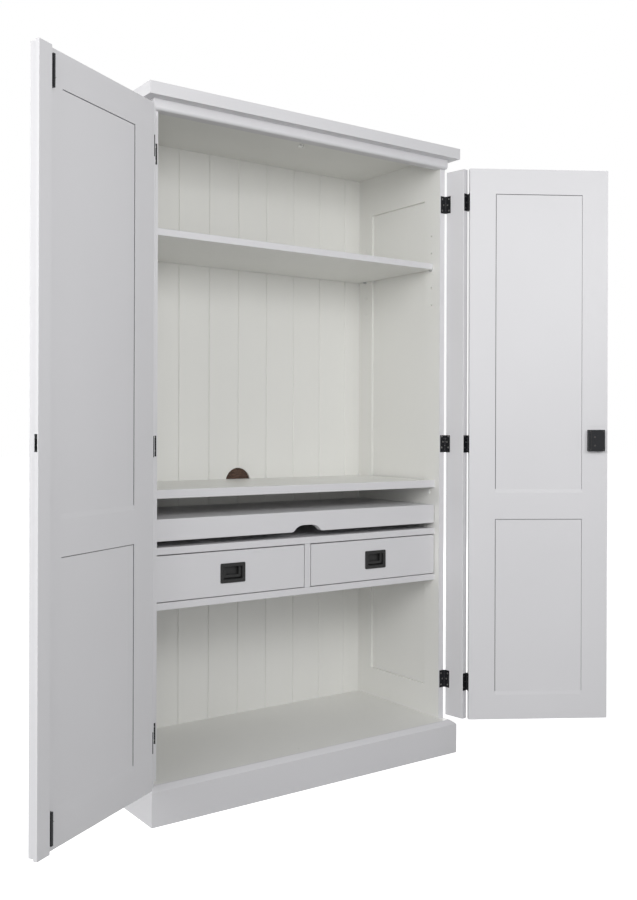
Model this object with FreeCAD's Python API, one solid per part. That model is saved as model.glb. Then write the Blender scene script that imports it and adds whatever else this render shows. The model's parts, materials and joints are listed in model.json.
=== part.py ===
import FreeCAD, Part
import math
import os

# Computer armoire. Millimetres. X runs along the front to the right, Y into the cabinet,
# Z up. The origin is on the floor, on the centre line, under the front of the carcass.
# The doors are built shut, for the right-hand side, then swung open and mirrored.

Vector = FreeCAD.Vector

# ---- carcass
INNER_WIDTH = 910.0
INNER_DEPTH = 385.0
SIDE_T = 18.0
BOARD_T = 18.0
BACK_T = 9.0
FLOOR_TOP = 94.0
CEILING = 1742.0
EASE = 1.5

# ---- side frames and their infill panels
SIDE_STILE_W = 66.0
SIDE_TOP_RAIL = 121.0
SIDE_BOTTOM_RAIL = 88.0
PANEL_T = 6.0
SIDE_RECESS = 8.0
PANEL_TONGUE = 7.0
TONGUE_GAP = 0.5

# ---- plinth, crown, frieze
PLINTH_FRONT = 42.0
PLINTH_SIDE = 14.0
PLINTH_T = 18.0
COVE_HIGH = 11.0
COVE_SAG = 2.0
CROWN_FRONT = 41.0
CROWN_SIDE = 23.0
CROWN_HIGH = 30.0
FRIEZE_T = 13.0
FRIEZE_HIGH = 26.0
FRIEZE_ROUND_HIGH = 9.0
FRIEZE_ROUND_IN = 7.0
RAIL_T = 18.0

# ---- boarded back
BACK_BOARD_PITCH = 99.0
BOARD_GAP = 0.4
GROOVE_EDGE = 2.0
TONGUE_T = 3.0
TONGUE_OUT = 5.0
CABLE_HOLE_R = 42.3
CABLE_HOLE_DROP = 9.3

# ---- shelves and desk
DESK_TOP = 792.0
DESK_T = 22.0
DESK_SETBACK = 20.0
SHELF_SPACE = 311.0
SHELF_SETBACK = 30.0
SHELF_END_GAP = 0.5
PIN_R = 2.5
PIN_OUT = 9.0
PIN_IN = 9.0
PIN_BEHIND_FRONT = 36.0
PIN_BEFORE_BACK = 35.0
PIN_PITCH = 51.0
PIN_HOLES_EACH_WAY = 2
CAP_R = 7.5
CAP_T = 1.6
CAP_DROP = 13.0
CAP_Y = 47.0
CEILING_CAP_R = 8.0
CEILING_CAP_X = 60.0
CEILING_CAP_Y = 145.0
CEILING_CAP_T = 6.0
CEILING_CAP_EASE = 1.5

# ---- drawer unit
DRAWER_SPACE = 117.0
REVEAL = 2.5
DRAWER_FRONT_T = 18.0
DRAWER_SIDE_T = 12.0
DRAWER_SIDE_GAP = 3.0
DRAWER_RUN_GAP = 0.3
DRAWER_BACK_GAP = 0.5
DRAWER_SIDE_LOW = 21.0
DRAWER_BOTTOM_T = 5.0
DRAWER_BOTTOM_UP = 9.0
DRAWER_GROOVE = 5.0

# ---- campaign pull
PLATE_W = 72.0
PLATE_H = 50.0
PLATE_T = 2.5
PLATE_RIM = 9.0
PLATE_CORNER = 3.0
CUP_DEEP = 11.0
CUP_WALL = 1.5
CUP_CUT_GAP = 0.3
BAIL_W = 6.5
BAIL_T = 4.0
BAIL_SIDE_GAP = 1.5
BAIL_DROP = 4.0
BAIL_LONG = 24.0
BAIL_CORNER = 3.0
BAIL_PIN_R = 1.2
BAIL_BACK = 4.0

# ---- pull-out tray
KEYBOARD_SPACE = 50.0
APRON_HIGH = 54.0
APRON_T = 18.0
APRON_TO_UNIT = 15.0
TRAY_BACK_GAP = 15.0
SCOOP_HIGH = 18.0
SCOOP_FLAT = 26.0
SCOOP_SLOPE_DEG = 50.0
SCOOP_SHOULDER_R = 38.0
SLIDE_SPACE = 13.0
SLIDE_HIGH = 35.0
SLIDE_SKIN = 1.5
SLIDE_CHANNEL = 8.0
SLIDE_GAP = 0.4
SLIDE_DROP = 18.0
SLIDE_START = 2.0

# ---- doors: a narrow strip leaf, then a wide leaf hinged to it
DOOR_FOOT_GAP = 9.0
DOOR_HEAD_GAP = 9.0
DOOR_T = 18.0
DOOR_EASE = 1.5
LEAF_GAP = 2.2
STRIP_W = 63.5
MEETING_GAP = 2.0
DOOR_STILE_W = 75.5
DOOR_TOP_RAIL = 72.0
DOOR_MID_RAIL = 87.0
DOOR_MID_RAIL_DROP = 23.0
DOOR_BOTTOM_RAIL = 81.0
BEVEL_W = 11.0
DOOR_TONGUE_T = 9.0
PANEL_RECESS = 1.2
HINGE_SIDE_QUIRK = 2.2
LOCK_SIDE_QUIRK = 0.8
TOP_QUIRK = 1.9
RIGHT_STRIP_OPEN_DEG = 98.5
RIGHT_DOOR_OPEN_DEG = 49.5
LEFT_STRIP_OPEN_DEG = 104.5
LEFT_DOOR_OPEN_DEG = 44.8

# ---- butt hinges
HINGE_HIGH = 50.0
HINGE_LEAF_W = 15.0
HINGE_LEAF_T = 0.9
HINGE_KNUCKLE_R = 2.7
HINGE_PIN_R = 1.4
PIN_RUNNING_GAP = 0.05
HINGE_LEAF_START = 3.0
KNUCKLES = 5
KNUCKLE_GAP = 0.3
KNUCKLE_ROOM = 0.5
HINGE_FROM_HEAD = 95.0
HINGE_FROM_FOOT = 106.0
OUTER_AXIS_OUT = 1.5

# ---- meeting strip, lock and bolts
ASTRAGAL_W = 38.0
ASTRAGAL_T = 10.0
ASTRAGAL_OVER = 8.0
ASTRAGAL_REBATE = 0.6
LOCK_W = 47.4
LOCK_HIGH = 62.0
LOCK_T = 16.0
LOCK_WALL = 1.5
LOCK_SETBACK = 12.5
LOCK_ABOVE_MIDDLE = 11.0
LOCK_BOLT_HIGH = 20.0
LOCK_BOLT_T = 3.4
LOCK_BOLT_LONG = 28.0
LOCK_BOLT_LIFT = 2.4
LOCK_BOLT_TRAVEL = 10.0
LOCK_CLEAR = 0.3
STRIKE_HIGH = 35.0
STRIKE_RISE = 2.5
STRIKE_W = 7.0
STRIKE_T = 1.0
STRIKE_LIFT = 0.8
KEYHOLE_R = 3.0
KEYHOLE_SLOT_W = 2.5
KEYHOLE_SLOT_LONG = 9.0
BOLT_CASE_W = 6.0
BOLT_CASE_T = 11.0
BOLT_CASE_LONG = 67.0
BOLT_FROM_EDGE = 15.0
BOLT_BESIDE = 3.0
BOLT_ROD_R = 1.8
BOLT_ROD_LONG = 60.0
BOLT_LIFT = 8.0
BOLT_TRAVEL = 32.0
BOLT_KNOB_R = 1.5
BOLT_KNOB_OUT = 4.0
BOLT_KNOB_DOWN = 46.0
BOLT_CLEAR = 0.3
KEEPER_CLEAR = 0.7
KEEPER_SPARE = 2.0

# ---- places worked out from the sizes above
HALF_INNER = INNER_WIDTH / 2
HALF_OUTER = HALF_INNER + SIDE_T
OUTER_DEPTH = INNER_DEPTH + BACK_T
CARCASS_TOP = CEILING + BOARD_T
CROWN_FOOT = CARCASS_TOP - CROWN_HIGH
FRIEZE_FOOT = CROWN_FOOT - FRIEZE_HIGH
PLINTH_BODY = FLOOR_TOP - BOARD_T
COVE_FOOT = FLOOR_TOP - COVE_HIGH
PLINTH_INNER_Y = PLINTH_T - PLINTH_FRONT
PLINTH_OUTER_X = HALF_OUTER + PLINTH_SIDE
PLINTH_INNER_X = PLINTH_OUTER_X - PLINTH_T
DESK_UNDER = DESK_TOP - DESK_T
SHELF_TOP = CEILING - SHELF_SPACE
SHELF_UNDER = SHELF_TOP - BOARD_T
PIN_PLACES = (PIN_BEHIND_FRONT, INNER_DEPTH - PIN_BEFORE_BACK)
TRAY_TOP = DESK_UNDER - KEYBOARD_SPACE
APRON_UNDER = TRAY_TOP - APRON_HIGH
UNIT_TOP = APRON_UNDER - APRON_TO_UNIT
DRAWER_CEILING = UNIT_TOP - BOARD_T
DRAWER_FLOOR = DRAWER_CEILING - DRAWER_SPACE
UNIT_UNDER = DRAWER_FLOOR - BOARD_T
DIVIDER_HALF = BOARD_T / 2
TRAY_HALF = HALF_INNER - SLIDE_SPACE
DOOR_FOOT = FLOOR_TOP + DOOR_FOOT_GAP
DOOR_HEAD = FRIEZE_FOOT - DOOR_HEAD_GAP
DOOR_MIDDLE = (DOOR_FOOT + DOOR_HEAD) / 2
DOOR_MID_RAIL_HIGH = DESK_TOP - DOOR_MID_RAIL_DROP
DOOR_MID_RAIL_LOW = DOOR_MID_RAIL_HIGH - DOOR_MID_RAIL
DOOR_IN_Y = -LEAF_GAP
DOOR_OUT_Y = DOOR_IN_Y - DOOR_T
STRIP_END_X = HALF_OUTER - STRIP_W
DOOR_HINGE_X = STRIP_END_X - LEAF_GAP
DOOR_LOCK_X = MEETING_GAP / 2
CARCASS_AXIS = Vector(HALF_OUTER + HINGE_LEAF_START, -LEAF_GAP / 2, 0)
DOOR_AXIS = Vector(STRIP_END_X - LEAF_GAP / 2, DOOR_OUT_Y - OUTER_AXIS_OUT, 0)
HINGE_CENTRES = (DOOR_FOOT + HINGE_FROM_FOOT, DOOR_MIDDLE, DOOR_HEAD - HINGE_FROM_HEAD)
LOCK_Z = DOOR_MIDDLE + LOCK_ABOVE_MIDDLE
STRIKE_FOOT = LOCK_Z + STRIKE_RISE - STRIKE_HIGH / 2
BOLT_X = DOOR_LOCK_X + ASTRAGAL_W - ASTRAGAL_OVER + BOLT_BESIDE + BOLT_CASE_W / 2
BOLT_Y = DOOR_IN_Y + BOLT_LIFT
PULL_X = (DIVIDER_HALF + HALF_INNER) / 2
PULL_Z = (DRAWER_FLOOR + DRAWER_CEILING) / 2
DRAWER_FRONT_Y = DESK_SETBACK
CUP_HALF_W = PLATE_W / 2 - PLATE_RIM
CUP_HALF_H = PLATE_H / 2 - PLATE_RIM
BAIL_HALF = CUP_HALF_W - BAIL_SIDE_GAP
BAIL_Y = DRAWER_FRONT_Y + BAIL_BACK
BAIL_Z = PULL_Z + CUP_HALF_H - BAIL_DROP

Z_AXIS = Vector(0, 0, 1)
X_AXIS = Vector(1, 0, 0)
Y_AXIS = Vector(0, 1, 0)


# ---- small helpers
def box(x0, x1, y0, y1, z0, z1):
    return Part.makeBox(x1 - x0, y1 - y0, z1 - z0, Vector(x0, y0, z0))


def rod(radius, start, direction, length):
    return Part.makeCylinder(radius, length, start, direction)


def eased(solid, direction, radius):
    """Round the straight edges of a box that run along one direction."""
    edges = [e for e in solid.Edges if abs(e.tangentAt(e.FirstParameter).dot(direction)) > 0.99]
    return solid.makeFillet(radius, edges)


def front_eased(solid, front_y, radius):
    """Round the two long edges of a shelf's front."""
    edges = []
    for edge in solid.Edges:
        along = abs(edge.tangentAt(edge.FirstParameter).dot(X_AXIS)) > 0.99
        if along and abs(edge.CenterOfMass.y - front_y) < radius / 2:
            edges.append(edge)
    return solid.makeFillet(radius, edges)


def prism(points, direction):
    """A solid from a closed outline, pushed along a vector."""
    wire = Part.makePolygon([Vector(*p) for p in points + points[:1]])
    return Part.Face(wire).extrude(direction)


def mirrored(shape):
    return shape.mirror(Vector(0, 0, 0), X_AXIS)


def turned(shape, axis_point, degrees):
    copy = shape.copy()
    copy.rotate(axis_point, Z_AXIS, degrees)
    return copy


def right_strip(shape):
    """Swing a piece of the narrow leaf from shut to where the right one rests."""
    return turned(shape, CARCASS_AXIS, RIGHT_STRIP_OPEN_DEG)


def left_strip(shape):
    """The same for the left one."""
    return mirrored(turned(shape, CARCASS_AXIS, LEFT_STRIP_OPEN_DEG))


def right_door(shape):
    """Swing a piece of the wide leaf from shut to where the right one rests."""
    return right_strip(turned(shape, DOOR_AXIS, RIGHT_DOOR_OPEN_DEG))


def left_door(shape):
    """The same for the left one."""
    return left_strip(turned(shape, DOOR_AXIS, LEFT_DOOR_OPEN_DEG))


def save(name, *shapes):
    solids = [s for shape in shapes for s in shape.Solids]
    whole = solids[0] if len(solids) == 1 else Part.makeCompound(solids)
    whole.exportStep("parts/" + name + ".step")


# ---- plinth
def cove_profile(out, inner):
    """Half-section of a plinth board: a flat face under a shallow cove, as (out, up) points."""
    top_out = out - PLINTH_SIDE
    middle = Vector((out + top_out) / 2 - COVE_SAG, (COVE_FOOT + FLOOR_TOP) / 2 + COVE_SAG, 0)
    foot = Vector(out, COVE_FOOT, 0)
    head = Vector(top_out, FLOOR_TOP, 0)
    cove = Part.Arc(foot, middle, head).toShape()
    rest = Part.makePolygon([
        head, Vector(inner, FLOOR_TOP, 0), Vector(inner, 0, 0), Vector(out, 0, 0), foot])
    return Part.Wire([cove] + rest.Edges)


def moulding_front(profile, half_length, out):
    """A moulding across the front, mitred at both ends. The profile is (out, up)."""
    placed = profile.copy()
    placed.rotate(Vector(0, 0, 0), X_AXIS, 90)
    placed.rotate(Vector(0, 0, 0), Z_AXIS, -90)
    placed.translate(Vector(-half_length, 0, 0))
    bar = Part.Face(placed).extrude(Vector(2 * half_length, 0, 0))
    return bar.cut(mitre_wedge(half_length, out)).cut(mirrored(mitre_wedge(half_length, out)))


def moulding_side(profile, half_length, out, end_y):
    """A moulding along the right side, mitred at its front end. The profile is (out, up)."""
    placed = profile.copy()
    placed.rotate(Vector(0, 0, 0), X_AXIS, 90)
    placed.translate(Vector(0, end_y, 0))
    bar = Part.Face(placed).extrude(Vector(0, -(end_y + out), 0))
    return bar.common(mitre_keep(half_length, out, end_y))


def mitre_wedge(half_length, out):
    """What a mitre takes off the right end of a front moulding."""
    reach = out
    return prism([
        (half_length, -out, 0), (half_length + reach, -out, 0),
        (half_length + reach, reach, 0), (half_length - out - reach, reach, 0)],
        Vector(0, 0, CARCASS_TOP))


def mitre_keep(half_length, out, end_y):
    """The region behind the mitre line that a right-hand side moulding fills."""
    return prism([
        (half_length, -out, 0), (half_length, end_y, 0),
        (half_length - out - end_y, end_y, 0)],
        Vector(0, 0, CARCASS_TOP))


def plinth_front():
    profile = cove_profile(PLINTH_FRONT, PLINTH_FRONT - PLINTH_T)
    return moulding_front(profile, PLINTH_OUTER_X, PLINTH_FRONT)


def plinth_side():
    profile = cove_profile(PLINTH_OUTER_X, PLINTH_INNER_X)
    return moulding_side(profile, PLINTH_OUTER_X, PLINTH_FRONT, OUTER_DEPTH)


def plinth_back():
    return box(-PLINTH_INNER_X, PLINTH_INNER_X, OUTER_DEPTH - PLINTH_T, OUTER_DEPTH,
               0, PLINTH_BODY)


def plinth_bearer():
    return box(-PLINTH_T / 2, PLINTH_T / 2, PLINTH_INNER_Y, OUTER_DEPTH - PLINTH_T,
               0, PLINTH_BODY)


# ---- carcass boards
def bolt_reach(gap):
    """How far the bolt goes past the face that it locks into."""
    return BOLT_TRAVEL - BOLT_FROM_EDGE - gap + KEEPER_SPARE


def bottom_board():
    board = box(-PLINTH_INNER_X, PLINTH_INNER_X, PLINTH_INNER_Y, OUTER_DEPTH,
                PLINTH_BODY, FLOOR_TOP)
    deep = bolt_reach(DOOR_FOOT - FLOOR_TOP)
    hole = rod(BOLT_ROD_R + KEEPER_CLEAR, Vector(-BOLT_X, BOLT_Y, FLOOR_TOP - deep),
               Z_AXIS, deep)
    return board.cut(hole)


def top_board():
    return box(-HALF_OUTER, HALF_OUTER, 0, OUTER_DEPTH, CEILING, CARCASS_TOP)


def top_rail():
    rail = box(-HALF_INNER, HALF_INNER, 0, RAIL_T, FRIEZE_FOOT, CEILING)
    deep = bolt_reach(FRIEZE_FOOT - DOOR_HEAD)
    hole = rod(BOLT_ROD_R + KEEPER_CLEAR, Vector(-BOLT_X, BOLT_Y, FRIEZE_FOOT),
               Z_AXIS, deep)
    return rail.cut(hole)


def frieze():
    """A flat board with a rounded lower edge, as wide as the carcass."""
    round_top = Vector(0, -FRIEZE_T, FRIEZE_FOOT + FRIEZE_ROUND_HIGH)
    round_end = Vector(0, -FRIEZE_T + FRIEZE_ROUND_IN, FRIEZE_FOOT)
    middle = Vector(0, -FRIEZE_T + FRIEZE_ROUND_IN * (1 - math.cos(math.radians(45))),
                    FRIEZE_FOOT + FRIEZE_ROUND_HIGH * (1 - math.sin(math.radians(45))))
    curve = Part.Arc(round_top, middle, round_end).toShape()
    rest = Part.makePolygon([
        round_end, Vector(0, 0, FRIEZE_FOOT), Vector(0, 0, CROWN_FOOT),
        Vector(0, -FRIEZE_T, CROWN_FOOT), round_top])
    face = Part.Face(Part.Wire([curve] + rest.Edges))
    face.translate(Vector(-HALF_OUTER, 0, 0))
    return face.extrude(Vector(2 * HALF_OUTER, 0, 0))


def crown_front():
    """The front board of the crown, mitred at both ends."""
    out = HALF_OUTER + CROWN_SIDE
    return prism([
        (-out, -CROWN_FRONT, CROWN_FOOT), (out, -CROWN_FRONT, CROWN_FOOT),
        (HALF_OUTER, 0, CROWN_FOOT), (-HALF_OUTER, 0, CROWN_FOOT)],
        Vector(0, 0, CROWN_HIGH))


def crown_side():
    """The side return, from the mitre at the front corner to the back."""
    out = HALF_OUTER + CROWN_SIDE
    return prism([
        (out, -CROWN_FRONT, CROWN_FOOT), (out, OUTER_DEPTH, CROWN_FOOT),
        (HALF_OUTER, OUTER_DEPTH, CROWN_FOOT), (HALF_OUTER, 0, CROWN_FOOT)],
        Vector(0, 0, CROWN_HIGH))


# ---- side frames
def side_windows():
    """The two openings in a side frame, as (low y, high y, low z, high z)."""
    low_y = SIDE_STILE_W
    high_y = INNER_DEPTH - SIDE_STILE_W
    return [
        (low_y, high_y, FLOOR_TOP + SIDE_BOTTOM_RAIL, DOOR_MID_RAIL_LOW),
        (low_y, high_y, DOOR_MID_RAIL_HIGH, CEILING - SIDE_TOP_RAIL)]


def shelf_pin_levels():
    centre = SHELF_UNDER - PIN_R
    return [centre + PIN_PITCH * k for k in range(-PIN_HOLES_EACH_WAY, PIN_HOLES_EACH_WAY + 1)]


def side_frame():
    frame = box(HALF_INNER, HALF_OUTER, 0, OUTER_DEPTH, FLOOR_TOP, CEILING)
    groove_x0 = HALF_INNER + SIDE_RECESS
    groove_x1 = groove_x0 + PANEL_T
    deep = PANEL_TONGUE + TONGUE_GAP
    for y0, y1, z0, z1 in side_windows():
        frame = frame.cut(box(HALF_INNER, HALF_OUTER, y0, y1, z0, z1))
        frame = frame.cut(box(groove_x0, groove_x1, y0 - deep, y1 + deep, z0 - deep, z1 + deep))
    for level in shelf_pin_levels():
        for y in PIN_PLACES:
            frame = frame.cut(rod(PIN_R, Vector(HALF_INNER, y, level), X_AXIS, PIN_IN))
    return frame


def side_panels():
    x0 = HALF_INNER + SIDE_RECESS
    return [
        box(x0, x0 + PANEL_T, y0 - PANEL_TONGUE, y1 + PANEL_TONGUE,
            z0 - PANEL_TONGUE, z1 + PANEL_TONGUE)
        for y0, y1, z0, z1 in side_windows()]


# ---- boarded back
def back_seams():
    """Where one back board ends and the next starts, with a seam on the centre line."""
    count = int(HALF_INNER // BACK_BOARD_PITCH)
    inner = [k * BACK_BOARD_PITCH for k in range(-count, count + 1)]
    return [-HALF_INNER] + inner + [HALF_INNER]


def back_board(x0, x1, has_groove, has_tongue):
    """One upright board: a tongue on its right edge, a groove in its left edge."""
    left = x0 + (BOARD_GAP if has_groove else 0)
    y0 = INNER_DEPTH
    y1 = OUTER_DEPTH
    edge_l = GROOVE_EDGE if has_groove else 0
    edge_r = GROOVE_EDGE if has_tongue else 0
    outline = [(left, y1), (left, y0 + edge_l), (left + edge_l, y0),
               (x1 - edge_r, y0), (x1, y0 + edge_r), (x1, y1)]
    points = []
    for point in outline:
        if point not in points:
            points.append(point)
    board = prism([(x, y, FLOOR_TOP) for x, y in points], Vector(0, 0, CEILING - FLOOR_TOP))
    tongue_y = (y0 + y1 - TONGUE_T) / 2 + BOARD_GAP
    if has_groove:
        board = board.cut(box(left, left + TONGUE_OUT, tongue_y - BOARD_GAP / 2,
                              tongue_y + TONGUE_T + BOARD_GAP / 2, FLOOR_TOP, CEILING))
    if has_tongue:
        board = board.fuse(box(x1 - BOARD_GAP, x1 + TONGUE_OUT, tongue_y,
                               tongue_y + TONGUE_T, FLOOR_TOP, CEILING)).removeSplitter()
    return board


def cable_hole():
    """A half-round hole standing on the desk, for the cables behind a screen."""
    whole = rod(CABLE_HOLE_R, Vector(0, INNER_DEPTH - BACK_T, DESK_TOP - CABLE_HOLE_DROP),
                Y_AXIS, 3 * BACK_T)
    above = box(-CABLE_HOLE_R, CABLE_HOLE_R, INNER_DEPTH - BACK_T, OUTER_DEPTH + BACK_T,
                DESK_TOP, DESK_TOP + 2 * CABLE_HOLE_R)
    return whole.common(above)


def back_boards():
    seams = back_seams()
    last = len(seams) - 2
    hole = cable_hole()
    boards = []
    for k in range(last + 1):
        board = back_board(seams[k], seams[k + 1], k > 0, k < last)
        boards.append(board.cut(hole))
    return boards


# ---- shelves, desk and what holds them
def desk_shelf():
    board = box(-HALF_INNER, HALF_INNER, DESK_SETBACK, INNER_DEPTH, DESK_UNDER, DESK_TOP)
    return front_eased(board, DESK_SETBACK, EASE)


def upper_shelf():
    half = HALF_INNER - SHELF_END_GAP
    board = box(-half, half, SHELF_SETBACK, INNER_DEPTH - SHELF_END_GAP, SHELF_UNDER, SHELF_TOP)
    return front_eased(board, SHELF_SETBACK, EASE)


def shelf_pins():
    """Two pins for the right end of the upper shelf."""
    level = SHELF_UNDER - PIN_R
    start = HALF_INNER - PIN_OUT
    return [rod(PIN_R, Vector(start, y, level), X_AXIS, PIN_OUT + PIN_IN)
            for y in PIN_PLACES]


def cover_caps():
    """Caps over the desk's end screws, and one in the ceiling."""
    side = rod(CAP_R, Vector(HALF_INNER - CAP_T, CAP_Y, DESK_UNDER - CAP_DROP), X_AXIS, CAP_T)
    above = rod(CEILING_CAP_R, Vector(CEILING_CAP_X, CEILING_CAP_Y, CEILING - CEILING_CAP_T),
                Z_AXIS, CEILING_CAP_T)
    lower_rim = [e for e in above.Edges if len(e.Vertexes) == 1
                 and e.CenterOfMass.z < CEILING - CEILING_CAP_T / 2]
    return [side, mirrored(side), above.makeFillet(CEILING_CAP_EASE, lower_rim)]


# ---- drawer unit
def unit_board(z0):
    board = box(-HALF_INNER, HALF_INNER, DESK_SETBACK, INNER_DEPTH, z0, z0 + BOARD_T)
    return front_eased(board, DESK_SETBACK, EASE)


def drawer_divider():
    return box(-DIVIDER_HALF, DIVIDER_HALF, DESK_SETBACK, INNER_DEPTH,
               DRAWER_FLOOR, DRAWER_CEILING)


# The right drawer fills the bay between the divider and the right side frame.
DRAWER_X0 = DIVIDER_HALF + DRAWER_SIDE_GAP
DRAWER_X1 = HALF_INNER - DRAWER_SIDE_GAP
DRAWER_BOX_Y0 = DRAWER_FRONT_Y + DRAWER_FRONT_T
DRAWER_BOX_Y1 = INNER_DEPTH - DRAWER_BACK_GAP
DRAWER_BOX_Z0 = DRAWER_FLOOR + DRAWER_RUN_GAP
DRAWER_BOX_Z1 = DRAWER_CEILING - DRAWER_SIDE_LOW
DRAWER_PANEL_Z0 = DRAWER_BOX_Z0 + DRAWER_BOTTOM_UP
DRAWER_PANEL_Z1 = DRAWER_PANEL_Z0 + DRAWER_BOTTOM_T


def drawer_bottom_panel(spread):
    """The thin bottom panel. With spread 0 it is also the cut of its grooves."""
    inner = DRAWER_SIDE_T - DRAWER_GROOVE
    return box(DRAWER_X0 + inner + spread, DRAWER_X1 - inner - spread,
               DRAWER_BOX_Y0 - DRAWER_GROOVE + spread, DRAWER_BOX_Y1,
               DRAWER_PANEL_Z0, DRAWER_PANEL_Z1)


def drawer_front():
    front = box(DIVIDER_HALF + REVEAL, HALF_INNER - REVEAL, DRAWER_FRONT_Y,
                DRAWER_BOX_Y0, DRAWER_FLOOR + REVEAL, DRAWER_CEILING - REVEAL)
    reach = CUP_WALL + CUP_CUT_GAP
    pocket = box(PULL_X - CUP_HALF_W - reach, PULL_X + CUP_HALF_W + reach,
                 DRAWER_FRONT_Y, DRAWER_FRONT_Y + CUP_DEEP + reach,
                 PULL_Z - CUP_HALF_H - reach, PULL_Z + CUP_HALF_H + reach)
    return front.cut(pocket).cut(drawer_bottom_panel(0))


def drawer_sides():
    bottom = drawer_bottom_panel(0)
    left = box(DRAWER_X0, DRAWER_X0 + DRAWER_SIDE_T, DRAWER_BOX_Y0, DRAWER_BOX_Y1,
               DRAWER_BOX_Z0, DRAWER_BOX_Z1)
    right = box(DRAWER_X1 - DRAWER_SIDE_T, DRAWER_X1, DRAWER_BOX_Y0, DRAWER_BOX_Y1,
                DRAWER_BOX_Z0, DRAWER_BOX_Z1)
    return [left.cut(bottom), right.cut(bottom)]


def drawer_back():
    return box(DRAWER_X0 + DRAWER_SIDE_T, DRAWER_X1 - DRAWER_SIDE_T,
               DRAWER_BOX_Y1 - DRAWER_SIDE_T, DRAWER_BOX_Y1, DRAWER_PANEL_Z1, DRAWER_BOX_Z1)


# ---- campaign pull
def pull_plate():
    """A flat plate with a cup behind it, in one casting, and bearings for the bail."""
    face_y = DRAWER_FRONT_Y - PLATE_T
    plate = box(PULL_X - PLATE_W / 2, PULL_X + PLATE_W / 2, face_y, DRAWER_FRONT_Y,
                PULL_Z - PLATE_H / 2, PULL_Z + PLATE_H / 2)
    plate = eased(plate, Y_AXIS, PLATE_CORNER)
    cup = box(PULL_X - CUP_HALF_W - CUP_WALL, PULL_X + CUP_HALF_W + CUP_WALL,
              DRAWER_FRONT_Y, DRAWER_FRONT_Y + CUP_DEEP + CUP_WALL,
              PULL_Z - CUP_HALF_H - CUP_WALL, PULL_Z + CUP_HALF_H + CUP_WALL)
    hollow = box(PULL_X - CUP_HALF_W, PULL_X + CUP_HALF_W, face_y, DRAWER_FRONT_Y + CUP_DEEP,
                 PULL_Z - CUP_HALF_H, PULL_Z + CUP_HALF_H)
    bearing = rod(BAIL_PIN_R + PIN_RUNNING_GAP,
                  Vector(PULL_X - CUP_HALF_W - CUP_WALL, BAIL_Y, BAIL_Z), X_AXIS,
                  2 * (CUP_HALF_W + CUP_WALL))
    return plate.fuse(cup).removeSplitter().cut(hollow).cut(bearing)


def pull_bail():
    """A flat square loop, open at the top, that hangs in the cup on two short pins."""
    low = BAIL_Z - BAIL_LONG
    high = BAIL_Z + BAIL_T / 2
    y0 = BAIL_Y - BAIL_T / 2
    y1 = BAIL_Y + BAIL_T / 2
    left = PULL_X - BAIL_HALF
    right = PULL_X + BAIL_HALF
    loop = eased(box(left, right, y0, y1, low, high + BAIL_CORNER), Y_AXIS, BAIL_CORNER)
    loop = loop.cut(box(left, right, y0, y1, high, high + 2 * BAIL_CORNER))
    loop = loop.cut(box(left + BAIL_W, right - BAIL_W, y0, y1, low + BAIL_W, high))
    pin_reach = CUP_HALF_W + CUP_WALL - BAIL_HALF
    pins = [rod(BAIL_PIN_R, Vector(left, BAIL_Y, BAIL_Z), -X_AXIS, pin_reach),
            rod(BAIL_PIN_R, Vector(right, BAIL_Y, BAIL_Z), X_AXIS, pin_reach)]
    return loop.multiFuse(pins).removeSplitter()


# ---- pull-out tray
def tray_board():
    board = box(-TRAY_HALF, TRAY_HALF, DESK_SETBACK + APRON_T, INNER_DEPTH - TRAY_BACK_GAP,
                TRAY_TOP - BOARD_T, TRAY_TOP)
    return board


def tray_apron():
    """The tray's front, with a finger scoop in the middle of its lower edge."""
    half = HALF_INNER - REVEAL
    apron = box(-half, half, DESK_SETBACK, DESK_SETBACK + APRON_T, APRON_UNDER, TRAY_TOP)
    return front_eased(apron, DESK_SETBACK, EASE).cut(finger_scoop())


def arc_through(centre, radius, start_deg, end_deg):
    """An arc in the plane of the apron's face, by its angles from +X."""
    def at(degrees):
        angle = math.radians(degrees)
        return centre + Vector(radius * math.cos(angle), 0, radius * math.sin(angle))
    return Part.Arc(at(start_deg), at((start_deg + end_deg) / 2), at(end_deg)).toShape()


def finger_scoop():
    """A flat arch: a level crown, round shoulders and hollow feet that meet the edge level."""
    slope = math.radians(SCOOP_SLOPE_DEG)
    foot_r = SCOOP_HIGH / (1 - math.cos(slope)) - SCOOP_SHOULDER_R
    half_flat = SCOOP_FLAT / 2
    foot_x = half_flat + (SCOOP_SHOULDER_R + foot_r) * math.sin(slope)
    crown_z = APRON_UNDER + SCOOP_HIGH
    shoulder = Vector(half_flat, DESK_SETBACK, crown_z - SCOOP_SHOULDER_R)
    hollow = Vector(foot_x, DESK_SETBACK, APRON_UNDER + foot_r)
    halves = []
    for side in (1, -1):
        arcs = [arc_through(shoulder, SCOOP_SHOULDER_R, 90, 90 - SCOOP_SLOPE_DEG),
                arc_through(hollow, foot_r, 270 - SCOOP_SLOPE_DEG, 270)]
        halves += arcs if side == 1 else [mirrored(arc) for arc in arcs]
    crown = Part.makeLine(Vector(-half_flat, DESK_SETBACK, crown_z),
                          Vector(half_flat, DESK_SETBACK, crown_z))
    foot = Part.makeLine(Vector(foot_x, DESK_SETBACK, APRON_UNDER),
                         Vector(-foot_x, DESK_SETBACK, APRON_UNDER))
    wire = Part.Wire(Part.__sortEdges__([crown, foot] + halves))
    return Part.Face(wire).extrude(Vector(0, APRON_T, 0))


def slide_span():
    """Where the tray slides start and end in depth."""
    return DESK_SETBACK + APRON_T + SLIDE_START, INNER_DEPTH - TRAY_BACK_GAP


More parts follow.
